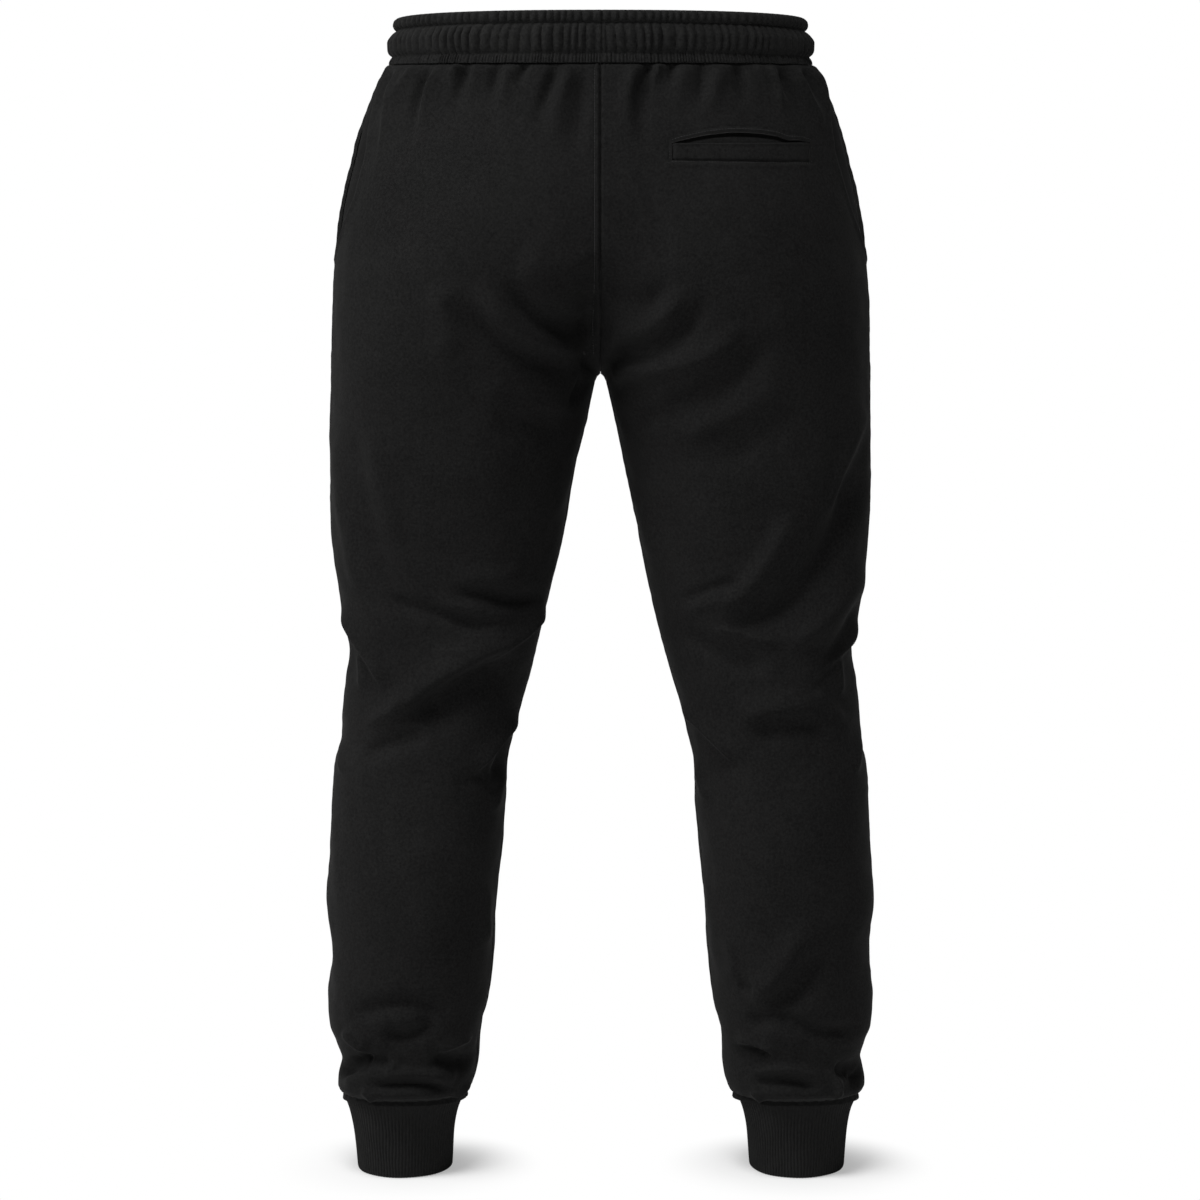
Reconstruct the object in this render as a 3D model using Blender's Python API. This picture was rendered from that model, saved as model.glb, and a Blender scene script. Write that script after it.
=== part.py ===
"""Jogger sweatpants, filled out as when worn, open at the waist and at both cuffs.

+Z is up. The back of the garment faces +Y, its front -Y, and the wearer's left leg is at +X.
The origin is the middle of the waist opening, level with the waistband's top edge.
Every piece that is cut and sewn is one closed wall of cloth, 0.3 mm from its neighbours.
Table values are millimetres and degrees; MM turns them into metres at the very end.
"""

from typing import NamedTuple

import bmesh
import bpy
import numpy as np

MM = 0.001

# Cloth
WALL = 2.2              # fleece, brushed inside
BAND_WALL = 4.4         # waistband: two layers over elastic
CUFF_WALL = 2.8         # rib knit, folded double
FACING_WALL = 1.6       # pocket facings: one layer
SEAM_GAP = 0.3

# Cross-sections
TORSO_SQUARE = 2.35     # superellipse power: 2 is an ellipse, more is squarer
SECTION_POINTS = 721    # points that each section's length is measured on

# Heights of the main seams at the side; at the centre back and front they shift by the rise
BAND_BOTTOM = -36.5
BAND_RISE = -5.5
CUFF_TOP = -962.0
CUFF_RISE = 6.5
CUFF_BOTTOM = -1027.0
CROTCH = -309.5
BAND_BLEND = 110.0      # below the waistband the shift dies out over this height
CUFF_BLEND = 70.0       # and above the cuffs over this one

# The web between the legs' rounds, above the crotch
WEB_NARROW = 6.0        # from the middle plane, at the crotch
WEB_WIDE = 54.0         # how much wider it is high up
WEB_RISE = 45.0         # the height over which it widens
WEB_ARCH = 26.0         # the height over which the seat seam curves in to the crotch
WEB_POINTS = 60

# Waistband and cuffs
BAND_GATHERS = 116
BAND_PLAIN_POINTS = 58
BAND_FLATTER = 4.0      # how much less deep the waistband is in front than at the back
CUFF_RIBS = 96
CUFF_PLAIN_POINTS = 36
RIB_HEIGHT = 0.7
CUFF_CENTRE = 178.4

# Panels
LEG_COLUMNS = 10
ROW_SPACING = 40.0      # rows farther apart than this get one more between them
GATHER_WIDTH = 6.5      # half-width of one gather where it leaves the waistband
GATHER_GROWTH = 0.08    # how much wider it gets for each millimetre further down
GATHER_MARGIN = 0.02    # share of a panel beside its seams that has no gather
GATHERS_END = -165.0    # below this height the panels have plain columns

# Side pockets: slanted mouths in the front panels
MOUTH_TOP_WIDTH = 38.0  # along the waistband
MOUTH_BOTTOM = -212.0
MOUTH_CURVE = 1.15      # power of the mouth's width over its height: 1 is straight
MOUTH_TUCK = 14.0       # how far the facing runs on under the front panel
MOUTH_CLOSING = 10.0    # where the mouth is narrower than this, the facing sinks as a whole
FACING_STEP = 1.2       # how far the back panel's edge stands above the facing beside it
FACING_SINK = 3.8       # how deep the facing lies where it goes under the front panel
FACING_COLUMNS = 6
FACING_BELOW = 15.0     # how far the facing runs on below the mouth
CALM_WIDTH = 9.0        # over this width the gathers die out beside the side pockets

# Back pocket: one welt on the wearer's right
WELT_INNER = 61.0       # from the middle plane
WELT_OUTER = 180.0
WELT_BOTTOM = -124.0
WELT_TOP_INNER = -109.0
WELT_TOP_OUTER = -107.0
MOUTH_GAPE = 9.0        # how far the mouth's upper edge stands off the welt at its middle
MOUTH_ROUND = 0.8       # power of that edge's bow: less is fuller at the corners
SLOT_REACH = 5.5        # how far the slot is cut to either side of the panel's outer surface
WELT_RAISE = 0.8
WELT_WALL = 3.0
WELT_COLUMNS = 14
POCKET_MARGIN = 4.0     # how far the facing runs on behind the panel
POCKET_SINK = 3.3

# Shading
SHARP_ANGLE = 50.0      # edges that turn more than this stay sharp


class Section(NamedTuple):
    """One cross-section of a leg, with the half of the seat above it.

    Above the crotch both legs' rounds run into each other, so `inner` goes below zero, and a web
    fills the valley between them.
    """
    height: float
    outer: float        # middle plane to the outer side
    inner: float        # middle plane to the inner side
    back: float         # leg axis to the back
    front: float        # leg axis to the front


SECTIONS = (
    Section(BAND_BOTTOM, 188.4, -188.4, 106, 101),
    Section(-46, 195.6, -190, 109, 104),
    Section(-58, 200.8, -186, 112, 106),
    Section(-74, 206.6, -178, 116, 109),
    Section(-94, 213.4, -164, 121, 112),
    Section(-120, 220.6, -140, 126, 115),
    Section(-150, 228.0, -108, 131, 118),
    Section(-180, 232.6, -76, 134, 120),
    Section(-212, 234.0, -45, 135, 121),
    Section(-226, 235.6, -34, 134.5, 121),
    Section(-252, 237.4, -18, 132, 119.5),
    Section(-275, 238.8, -8, 128, 117),
    Section(-292, 239.2, -2, 124.5, 114.5),
    Section(-303, 239.3, 1.0, 122, 112.5),
    Section(-309, 239.3, 2.9, 120.5, 111.5),
    Section(-310, 239.3, 3.4, 120.2, 111.2),
    Section(-318, 239.3, 5.6, 118.2, 109.7),
    Section(-335, 239.3, 9.1, 114.5, 106.5),
    Section(-365, 240.0, 15.9, 109, 102.5),
    Section(-400, 240.8, 24.1, 104, 100),
    Section(-435, 240.3, 30.8, 98.5, 98.5),
    Section(-470, 237.5, 37.4, 93, 98),
    Section(-500, 233.6, 44.3, 88, 98),
    Section(-530, 229.4, 51.6, 84, 97.5),
    Section(-554, 224.8, 57.2, 81.5, 96.5),
    Section(-580, 228.8, 63.8, 80, 94.5),
    Section(-612, 232.1, 73.6, 79, 90),
    Section(-630, 232.1, 78.0, 79, 87.5),
    Section(-655, 238.4, 84.0, 80, 84.5),
    Section(-690, 241.4, 85.2, 82, 81.5),
    Section(-735, 244.0, 88.8, 84, 78),
    Section(-780, 246.2, 93.2, 84, 75),
    Section(-824, 242.3, 96.2, 81, 72.5),
    Section(-868, 246.3, 101.0, 80, 72),
    Section(-893, 244.8, 106.8, 77, 70.5),
    Section(-908, 239.4, 109.4, 73, 67.5),
    Section(-925, 234.6, 110.5, 70, 64.5),
    Section(-941, 238.0, 113.0, 73, 67),
    Section(-950, 238.5, 115.5, 73, 67),
    Section(-957, 236.4, 118.2, 68, 63),
    Section(CUFF_TOP, 233.9, 121.4, 58, 56),
)


class SeamTurn(NamedTuple):
    """How far the long seams lie round to the back, away from the legs' outermost lines."""
    height: float
    side: float
    mouth: float        # the line that the side pocket mouth's width is measured from
    inseam: float


SEAM_TURNS = (
    SeamTurn(-36, 9, 10, 0),
    SeamTurn(-58, 11, 10, 0),
    SeamTurn(-94, 18, 10.5, 0),
    SeamTurn(-144, 24, 11, 0),
    SeamTurn(-180, 19, 9, 0),
    SeamTurn(MOUTH_BOTTOM, 6.5, 6.5, 0),
    SeamTurn(-310, 3, 3, 0),
    SeamTurn(-600, 0, 0, 5),
    SeamTurn(CUFF_TOP, 0, 0, 7),
)


class BandRow(NamedTuple):
    height: float
    outer: float
    depth: float        # middle of the waist to the back
    gather: float       # half the height of the gathers on this row


BAND_ROWS = (
    BandRow(0, 179.6, 104.5, 0.3),
    BandRow(-5.5, 181.6, 106.0, 0.8),
    BandRow(-9.5, 180.2, 105.0, 0.3),
    BandRow(-21, 187.0, 108.0, 1.1),
    BandRow(-31.5, 185.4, 107.0, 0.5),
    BandRow(BAND_BOTTOM, 186.0, 106.0, 0.4),
)


class CuffRow(NamedTuple):
    height: float
    half_width: float
    half_depth: float


CUFF_ROWS = (
    CuffRow(CUFF_TOP, 53.5, 54.0),
    CuffRow(-972, 49.2, 50.5),
    CuffRow(-992, 45.2, 47.5),
    CuffRow(CUFF_BOTTOM, 42.2, 45.5),
)


class Gather(NamedTuple):
    """One gather that runs down a panel from the waistband."""
    side: int           # +1 is the wearer's left
    face: int           # +1 is the back
    offset: float       # from the middle plane, at the waistband
    height: float
    length: float


GATHERS = (
    Gather(1, 1, 12, 1.2, 45), Gather(1, 1, 27, 2.0, 70), Gather(1, 1, 40, 1.6, 60),
    Gather(1, 1, 62, 2.4, 85), Gather(1, 1, 82, 2.0, 60), Gather(1, 1, 112, 2.6, 90),
    Gather(1, 1, 137, 2.2, 70), Gather(1, 1, 152, 1.8, 60), Gather(1, 1, 167, 2.2, 80),
    Gather(-1, 1, 10, 1.4, 50), Gather(-1, 1, 24, 2.0, 60), Gather(-1, 1, 46, 2.2, 55),
    Gather(-1, 1, 64, 1.8, 45), Gather(-1, 1, 86, 2.2, 45), Gather(-1, 1, 111, 1.8, 35),
    Gather(-1, 1, 127, 1.4, 35), Gather(-1, 1, 143, 2.2, 50), Gather(-1, 1, 165, 2.2, 75),
    Gather(1, -1, 14, 1.6, 50), Gather(1, -1, 33, 2.0, 70), Gather(1, -1, 54, 2.2, 60),
    Gather(1, -1, 78, 2.2, 80), Gather(1, -1, 101, 1.8, 60), Gather(1, -1, 121, 2.0, 55),
    Gather(1, -1, 139, 1.6, 40),
    Gather(-1, -1, 18, 1.8, 60), Gather(-1, -1, 39, 2.2, 75), Gather(-1, -1, 62, 1.8, 50),
    Gather(-1, -1, 84, 2.4, 75), Gather(-1, -1, 107, 2.0, 60), Gather(-1, -1, 125, 1.8, 50),
    Gather(-1, -1, 141, 1.6, 40),
)


class Fold(NamedTuple):
    """One soft fold of a leg; a ridge has a height above zero and a trough one below."""
    side: int
    face: int
    from_offset: float
    from_height: float
    to_offset: float
    to_height: float
    bow: float          # how far its middle bends up from the straight line
    half_width: float
    height: float


FOLDS = (
    # Seat, back of the left leg
    Fold(1, 1, 122, -252, 34, -294, -12, 15, -5.0),
    Fold(1, 1, 98, -228, 24, -268, -6, 12, 2.5),
    Fold(1, 1, 110, -300, 40, -322, -8, 16, 3.0),
    # Seat, back of the right leg
    Fold(-1, 1, 14, -290, 96, -226, -14, 12, 3.0),
    Fold(-1, 1, 24, -298, 112, -262, -12, 13, -4.0),
    Fold(-1, 1, 70, -328, 168, -270, -10, 14, 3.0),
    Fold(-1, 1, 64, -352, 134, -290, -8, 13, -3.0),
    # Thighs
    Fold(1, 1, 218, -380, 184, -500, -10, 14, -3.5),
    Fold(-1, 1, 214, -335, 200, -420, 0, 13, 2.5),
    Fold(-1, 1, 212, -400, 166, -522, 10, 14, -3.5),
    Fold(-1, 1, 156, -430, 104, -484, 0, 13, 2.5),
    Fold(-1, 1, 168, -455, 98, -524, -4, 13, -3.0),
    # Backs of the knees
    Fold(1, 1, 86, -556, 200, -636, -6, 15, -6.0),
    Fold(1, 1, 128, -530, 62, -506, -4, 13, -2.5),
    Fold(1, 1, 220, -506, 186, -584, 4, 11, 2.5),
    Fold(1, 1, 74, -606, 110, -654, 0, 10, 2.5),
    Fold(-1, 1, 74, -538, 146, -574, -6, 14, -5.0),
    Fold(-1, 1, 222, -514, 180, -582, 4, 11, 3.0),
    Fold(-1, 1, 146, -613, 190, -606, 6, 13, -3.0),
    Fold(-1, 1, 64, -584, 116, -644, 0, 10, 2.5),
    # Backs of the ankles, where the leg is bunched over its cuff
    Fold(1, 1, 184, -884, 152, -884, -6, 9, -3.0),
    Fold(1, 1, 208, -909, 182, -917, 0, 9, -3.5),
    Fold(1, 1, 148, -907, 110, -891, 0, 8, 2.5),
    Fold(1, 1, 208, -937, 136, -941, 4, 8, -3.0),
    Fold(-1, 1, 168, -890, 202, -888, -3, 8, -3.0),
    Fold(-1, 1, 118, -896, 156, -907, 3, 8, -3.0),
    Fold(-1, 1, 134, -931, 200, -940, 4, 8, -3.0),
    # Fronts of the knees and thighs
    Fold(1, -1, 36, -300, 120, -268, 6, 15, 3.0),
    Fold(-1, -1, 30, -306, 128, -262, 6, 15, 3.0),
    Fold(1, -1, 52, -340, 140, -300, 4, 15, -3.0),
    Fold(-1, -1, 46, -346, 132, -310, 4, 15, -3.0),
    Fold(1, -1, 70, -560, 150, -600, -8, 15, -4.0),
    Fold(-1, -1, 76, -570, 160, -596, -8, 15, -4.0),
    Fold(1, -1, 96, -700, 180, -670, -6, 15, -3.5),
    Fold(-1, -1, 92, -680, 176, -706, -6, 15, -3.5),
    # Fronts of the ankles
    Fold(1, -1, 140, -898, 196, -888, -5, 9, -3.0),
    Fold(1, -1, 150, -934, 212, -928, 3, 8, -3.0),
    Fold(-1, -1, 146, -884, 200, -894, -5, 9, -3.0),
    Fold(-1, -1, 138, -928, 206, -936, 3, 8, -3.0),
)
FOLD_STEPS = 12         # straight pieces that a bowed fold is measured on
FOLD_ENDS = 0.25        # share of its height that a fold keeps at its two ends
FACE_TURN = 0.35        # a fold has its full height where the cloth faces this far to its own side


def smooth(table, column, at):
    """Read one column of a table at any heights, on a curve that never overshoots its rows."""
    heights = np.array([row.height for row in table], float)[::-1]
    values = np.array([getattr(row, column) for row in table], float)[::-1]
    steps = np.diff(heights)
    rises = np.diff(values) / steps
    slopes = np.concatenate(([rises[0]], np.zeros(len(values) - 2), [rises[-1]]))
    before, after = rises[:-1], rises[1:]
    same_way = before * after > 0
    slopes[1:-1][same_way] = (2 * before * after)[same_way] / (before + after)[same_way]
    at = np.clip(np.asarray(at, float), heights[0], heights[-1])
    i = np.clip(np.searchsorted(heights, at) - 1, 0, len(steps) - 1)
    t = (at - heights[i]) / steps[i]
    return (values[i] * (1 + 2 * t) * (1 - t) ** 2
            + values[i + 1] * t ** 2 * (3 - 2 * t)
            + steps[i] * t * (1 - t) * (slopes[i] * (1 - t) - slopes[i + 1] * t))


def ease(x):
    """A smooth step from 0 to 1."""
    x = np.clip(x, 0, 1)
    return x * x * (3 - 2 * x)


def superellipse(angles, half_width, back, front):
    """Points of a rounded-square section about its axis; angle 0 is outermost, 90 is the back."""
    power = 2 / TORSO_SQUARE
    across = half_width * np.sign(np.cos(angles)) * np.abs(np.cos(angles)) ** power
    depth = np.where(np.sin(angles) > 0, back, front)
    along = depth * np.sign(np.sin(angles)) * np.abs(np.sin(angles)) ** power
    return np.stack((across, along), axis=-1)


class LegSection:
    """One section from its back end at the seat seam or inseam, round the side, to its front end."""

    def __init__(self, height):
        outer, inner, self.back, self.front = (
            float(smooth(SECTIONS, name, height)) for name in ("outer", "inner", "back", "front"))
        axis, half_width = (outer + inner) / 2, (outer - inner) / 2
        inseam = np.radians(float(smooth(SEAM_TURNS, "inseam", height)))
        self.angles = np.linspace(np.pi - inseam, -np.pi - inseam, SECTION_POINTS)
        self.points = superellipse(self.angles, half_width, self.back, self.front)
        self.points[:, 0] += axis
        if height > CROTCH:
            self.add_web(height - CROTCH)
        steps = np.linalg.norm(np.diff(self.points, axis=0), axis=1)
        self.lengths = np.concatenate(([0], np.cumsum(steps)))
        self.total = self.lengths[-1]
        side, mouth = (
            np.radians(float(smooth(SEAM_TURNS, name, height))) for name in ("side", "mouth"))
        self.side_seam, self.mouth_line = np.interp((-side, -mouth), -self.angles, self.lengths)

    def add_web(self, rise):
        """Bridge the valley between the legs' rounds, at this height above the crotch."""
        width = WEB_NARROW + WEB_WIDE * (1 - np.exp(-rise / WEB_RISE))
        arch = np.sqrt(1 - (1 - min(rise / WEB_ARCH, 1)) ** 2)
        kept = self.points[:, 0] > width
        points, angles = self.points[kept], self.angles[kept]
        web = np.linspace(SEAM_GAP / 2, width, WEB_POINTS, endpoint=False)
        t = web / width
        ends = []
        for first, second in ((0, 1), (-1, -2)):
            run = points[second] - points[first]
            slope = run[1] / run[0]
            edge = points[first, 1] - slope * (points[first, 0] - width)
            middle = (edge - slope * width / 2) * arch
            depth = (middle * (1 + 2 * t) * (1 - t) ** 2 + edge * t ** 2 * (3 - 2 * t)
                     - slope * width * t ** 2 * (1 - t))
            ends.append(np.column_stack((web, depth)))
        self.points = np.concatenate((ends[0], points, ends[1][::-1]))
        back = np.linspace(np.pi, angles[0], WEB_POINTS, endpoint=False)
        front = np.linspace(angles[-1], -np.pi, WEB_POINTS + 1)[1:]
        self.angles = np.concatenate((back, angles, front))

    def at(self, lengths):
        """Points at the given lengths round the section."""
        return np.stack([np.interp(lengths, self.lengths, self.points[:, k]) for k in (0, 1)], axis=-1)

    def length_at_offset(self, offset, face):
        """How far round the point lies that is this far from the middle plane, on one face."""
        on_face = self.angles * face >= 0
        order = np.argsort(self.points[on_face, 0])
        return np.interp(offset, self.points[on_face, 0][order], self.lengths[on_face][order])


def seam_shift(height, depth_share):
    """How far a row is raised at the centre back and front, near the waistband and the cuff."""
    near_band = 1 - ease((BAND_BOTTOM - height) / BAND_BLEND)
    near_cuff = 1 - ease((height - CUFF_TOP) / CUFF_BLEND)
    return depth_share * (BAND_RISE * near_band + CUFF_RISE * near_cuff)


def base_points(height, lengths):
    """Points of the left leg's smooth surface, at lengths round the section of one height."""
    section = LegSection(height)
    flat = section.at(lengths)
    depth = np.where(flat[:, 1] > 0, section.back, section.front)
    shift = seam_shift(height, np.abs(flat[:, 1]) / depth)
    return np.column_stack((flat, height + shift))


def base_normals(height, lengths):
    """Outward normals of the smooth surface at the same points."""
    section, above, below = (LegSection(h) for h in (height, height + 1, height - 1))
    step = 0.5
    inside = np.clip(lengths, step, section.total - step)
    around = base_points(height, inside + step) - base_points(height, inside - step)
    up = (base_points(height + 1, lengths / section.total * above.total)
          - base_points(height - 1, lengths / section.total * below.total))
    normals = np.cross(up, around)
    return normals / np.linalg.norm(normals, axis=1, keepdims=True)


def fold_relief(side, points, normals):
    """How far the folds lift each point of one leg."""
    relief = np.zeros(len(points))
    for fold in FOLDS:
        if fold.side != side:
            continue
        start = np.array((fold.from_offset, fold.from_height))
        end = np.array((fold.to_offset, fold.to_height))
        shares = np.linspace(0, 1, FOLD_STEPS + 1)[:, None]
        line = start + (end - start) * shares
        line[:, 1] += 4 * fold.bow * (shares * (1 - shares))[:, 0]
        gaps = np.linalg.norm(points[:, None, (0, 2)] - line[None], axis=2)
        nearest = np.argmin(gaps, axis=1)
        taper = FOLD_ENDS + (1 - FOLD_ENDS) * np.sin(np.pi * shares[nearest, 0])
        facing = ease(normals[:, 1] * fold.face / FACE_TURN)
        relief += fold.height * taper * facing * np.exp(-(gaps.min(axis=1) / fold.half_width) ** 2)
    return relief


def mouth_edge(section, height):
    """How far round the front panel begins: at the side seam, or at the pocket mouth's edge."""
    if height <= MOUTH_BOTTOM:
        return section.side_seam
    share = (height - MOUTH_BOTTOM) / (BAND_BOTTOM - MOUTH_BOTTOM)
    return section.mouth_line + MOUTH_TOP_WIDTH * share ** MOUTH_CURVE


def gather_relief(side, height, lengths):
    """How far the gathers below the waistband lift each point of one leg."""
    top = LegSection(BAND_BOTTOM)
    section = LegSection(height)
    relief = np.zeros(len(lengths))
    for gather in GATHERS:
        if gather.side != side:
            continue
        place = top.length_at_offset(gather.offset, gather.face) / top.total * section.total
        spread = GATHER_WIDTH + GATHER_GROWTH * (BAND_BOTTOM - height)
        fade = np.exp(-((BAND_BOTTOM - height) / gather.length) ** 2)
        mean = spread * np.sqrt(np.pi) / section.total
        relief += 2 * gather.height * fade * (np.exp(-((lengths - place) / spread) ** 2) - mean)
    past_seam = ease((lengths - section.side_seam) / CALM_WIDTH + 1)
    before_tuck = ease((mouth_edge(section, height) + MOUTH_TUCK - lengths) / CALM_WIDTH + 1)
    return relief * (1 - past_seam * before_tuck)


def skin(side, height, lengths, lift=0.0):
    """Points of one leg's cloth, moved out by `lift`; the right leg is the left one's mirror image."""
    lengths = np.asarray(lengths, float)
    points = base_points(height, lengths)
    normals = base_normals(height, lengths)
    relief = fold_relief(side, points, normals) + gather_relief(side, height, lengths)
    points = points + normals * (relief + lift)[:, None]
    points[:, 0] = np.maximum(points[:, 0], SEAM_GAP / 2)
    points[:, 0] *= side
    return points


class Wall:
    """The faces of one closed wall of cloth, whose rows may differ in their number of points."""

    def __init__(self):
        self.points = []
        self.faces = []

    def row(self, points, closed=False):
        start = len(self.points)
        self.points.extend(points)
        indices = list(range(start, start + len(points)))
        return indices + [start] if closed else indices

    def strip(self, a, b):
        """Fill between two chains of points with triangles."""
        i = j = 0
        while i < len(a) - 1 or j < len(b) - 1:
            next_a = (i + 1) / (len(a) - 1)
            next_b = (j + 1) / (len(b) - 1)
            if j == len(b) - 1 or (i < len(a) - 1 and next_a <= next_b):
                self.faces.append((a[i], b[j], a[i + 1]))
                i += 1
            else:
                self.faces.append((a[i], b[j], b[j + 1]))
                j += 1

    def fill(self, outer_rows, inner_rows, closed=False):
        """Join the outer rows, the inner rows and the edges between them."""
        outer = [self.row(points, closed) for points in outer_rows]
        inner = [self.row(points, closed) for points in inner_rows]
        for rows in (outer, inner):
            for upper, lower in zip(rows[:-1], rows[1:]):
                self.strip(upper, lower)
        self.strip(outer[0], inner[0])
        self.strip(outer[-1], inner[-1])
        if not closed:
            for end in (0, -1):
                self.strip([row[end] for row in outer], [row[end] for row in inner])
        return self


def make_material(name, colour, roughness):
    material = bpy.data.materials.new(name)
    material.use_nodes = True
    shader = material.node_tree.nodes["Principled BSDF"]
    shader.inputs["Base Color"].default_value = (*colour, 1)
    shader.inputs["Roughness"].default_value = roughness
    shader.inputs["Metallic"].default_value = 0
    return material


def make_object(name, wall, material):
    """Turn a wall into a Blender object whose faces point out."""
    mesh = bpy.data.meshes.new(name)
    mesh.from_pydata([tuple(point * MM) for point in wall.points], [], wall.faces)
    body = bmesh.new()
    body.from_mesh(mesh)
    bmesh.ops.recalc_face_normals(body, faces=body.faces)
    if body.calc_volume(signed=True) < 0:
        bmesh.ops.reverse_faces(body, faces=body.faces)
    body.to_mesh(mesh)
    body.free()
    mesh.shade_smooth()
    mesh.set_sharp_from_angle(angle=np.radians(SHARP_ANGLE))
    mesh.materials.append(material)
    thing = bpy.data.objects.new(name, mesh)
    bpy.context.scene.collection.objects.link(thing)
    return thing


def panel_range(section, height, face):
    """The lengths round a section between which a back or a front panel lies."""
    half_gap = SEAM_GAP / 2
    below_crotch = height <= CROTCH
    end_gap = half_gap if below_crotch else 0
    if face > 0:
        return end_gap, section.side_seam - half_gap
    return mouth_edge(section, height) + half_gap, section.total - end_gap


def gather_columns(side, face):
    """Shares across a panel at which its gathers' ridges and the valleys between them lie."""
    top = LegSection(BAND_BOTTOM)
    first, last = panel_range(top, BAND_BOTTOM, face)
    places = sorted(top.length_at_offset(g.offset, g.face)
                    for g in GATHERS if (g.side, g.face) == (side, face))
    ridges = [(place - first) / (last - first) for place in places]
    ridges = [share for share in ridges if GATHER_MARGIN < share < 1 - GATHER_MARGIN]
    stops = [0] + ridges + [1]
    valleys = [(a + b) / 2 for a, b in zip(stops[:-1], stops[1:])]
    tuck = [] if face > 0 else [MOUTH_TUCK / (last - first)]
    return np.array(sorted(stops + valleys + tuck))


def panel_heights():
    """Rows of a panel: every section of the table, and one between where they are far apart."""
    heights = [SECTIONS[0].height]
    for row in SECTIONS[1:]:
        if heights[-1] - row.height > ROW_SPACING:
            heights.append((heights[-1] + row.height) / 2)
        heights.append(row.height)
    return heights


def make_panel(side, face, material):
    gathered = gather_columns(side, face)
    plain = np.linspace(0, 1, LEG_COLUMNS + 1)
    outer_rows, inner_rows = [], []
    for height in panel_heights():
        section = LegSection(height)
        first, last = panel_range(section, height, face)
        shares = gathered if height > GATHERS_END else plain
        lengths = first + (last - first) * shares
        outer_rows.append(skin(side, height, lengths))
        inner_rows.append(skin(side, height, lengths, -WALL))
    name = f"{'back' if face > 0 else 'front'}_{'left' if side > 0 else 'right'}_panel"
    return make_object(name, Wall().fill(outer_rows, inner_rows), material)


def make_waistband(material):
    """A tube with gathers raised on its outside over a plain inside."""
    count = np.arange(BAND_GATHERS)
    uneven = 0.22 * np.sin(2.1 * count) + 0.16 * np.sin(5.7 * count + 1)
    ridges = count + uneven
    valleys = (ridges + np.roll(ridges, -1) + np.where(count == count[-1], BAND_GATHERS, 0)) / 2
    shares = np.column_stack((ridges, valleys)).ravel() / BAND_GATHERS
    signs = np.tile((1, -1), BAND_GATHERS) * np.repeat(1 + 0.25 * np.sin(3.3 * count), 2)
    full_turn = np.linspace(np.pi, -np.pi, SECTION_POINTS)

    def ring(row, at, lift):
        line = superellipse(full_turn, row.outer, row.depth, row.depth - BAND_FLATTER)
        lengths = np.concatenate(([0], np.cumsum(np.linalg.norm(np.diff(line, axis=0), axis=1))))
        at = np.mod(at, 1) * lengths[-1]
        flat = np.stack([np.interp(at, lengths, line[:, k]) for k in (0, 1)], axis=-1)
        outward = flat / np.array((row.outer, row.depth)) ** 2
        outward /= np.linalg.norm(outward, axis=1, keepdims=True)
        share = (row.height / BAND_BOTTOM) ** 2
        shift = BAND_RISE * share * np.abs(flat[:, 1]) / row.depth
        low = SEAM_GAP if row.height == BAND_BOTTOM else 0
        flat = flat + outward * np.asarray(lift).reshape(-1, 1)
        return np.column_stack((flat, row.height + shift + low))

    plain = np.arange(BAND_PLAIN_POINTS) / BAND_PLAIN_POINTS
    outer_rows = [ring(row, shares, signs * row.gather) for row in BAND_ROWS]
    inner_rows = [ring(row, plain, np.full(len(plain), -BAND_WALL))
                  for row in (BAND_ROWS[0], BAND_ROWS[-1])]
    return make_object("waistband", Wall().fill(outer_rows, inner_rows, closed=True), material)


def make_cuff(side, material):
    """A tube of rib knit: ribs raised on its outside over a plain inside."""
    def ring(row, points, lift):
        angles = np.arange(points) / points * 2 * np.pi
        flat = np.column_stack((np.cos(angles) * (row.half_width + lift),
                                np.sin(angles) * (row.half_depth + lift)))
        near_top = row.height == CUFF_TOP
        shift = (CUFF_RISE * np.abs(np.sin(angles)) - SEAM_GAP) * near_top
        flat[:, 0] = (flat[:, 0] + CUFF_CENTRE) * side
        return np.column_stack((flat, row.height + shift))

    ribs = np.tile((RIB_HEIGHT / 2, -RIB_HEIGHT / 2), CUFF_RIBS)
    outer_rows = [ring(row, 2 * CUFF_RIBS, ribs) for row in CUFF_ROWS]
    inner_rows = [ring(row, CUFF_PLAIN_POINTS, -CUFF_WALL) for row in CUFF_ROWS]
    name = f"cuff_{'left' if side > 0 else 'right'}"
    return make_object(name, Wall().fill(outer_rows, inner_rows, closed=True), material)


def make_side_facing(side, material):
    """The piece that shows in a side pocket's mouth, sinking under the front panel's edge."""
    heights = [h for h in panel_heights() if h >= MOUTH_BOTTOM - FACING_BELOW]
    outer_rows, inner_rows = [], []
    for height in heights:
        section = LegSection(height)
        first = section.side_seam + SEAM_GAP / 2
        edge = mouth_edge(section, height)
        last = edge + MOUTH_TUCK
        mouth = max(edge - first, 0.1)
        lengths = np.linspace(first, last, FACING_COLUMNS + 1)
        closing = 1 - ease(mouth / MOUTH_CLOSING)
        under = np.maximum(ease((lengths - first) / mouth), closing)
        sink = FACING_STEP + (FACING_SINK - FACING_STEP) * under
        outer_rows.append(skin(side, height, lengths, -sink))
        inner_rows.append(skin(side, height, lengths, -sink - FACING_WALL))
    name = f"side_pocket_facing_{'left' if side > 0 else 'right'}"
    return make_object(name, Wall().fill(outer_rows, inner_rows), material)


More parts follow.
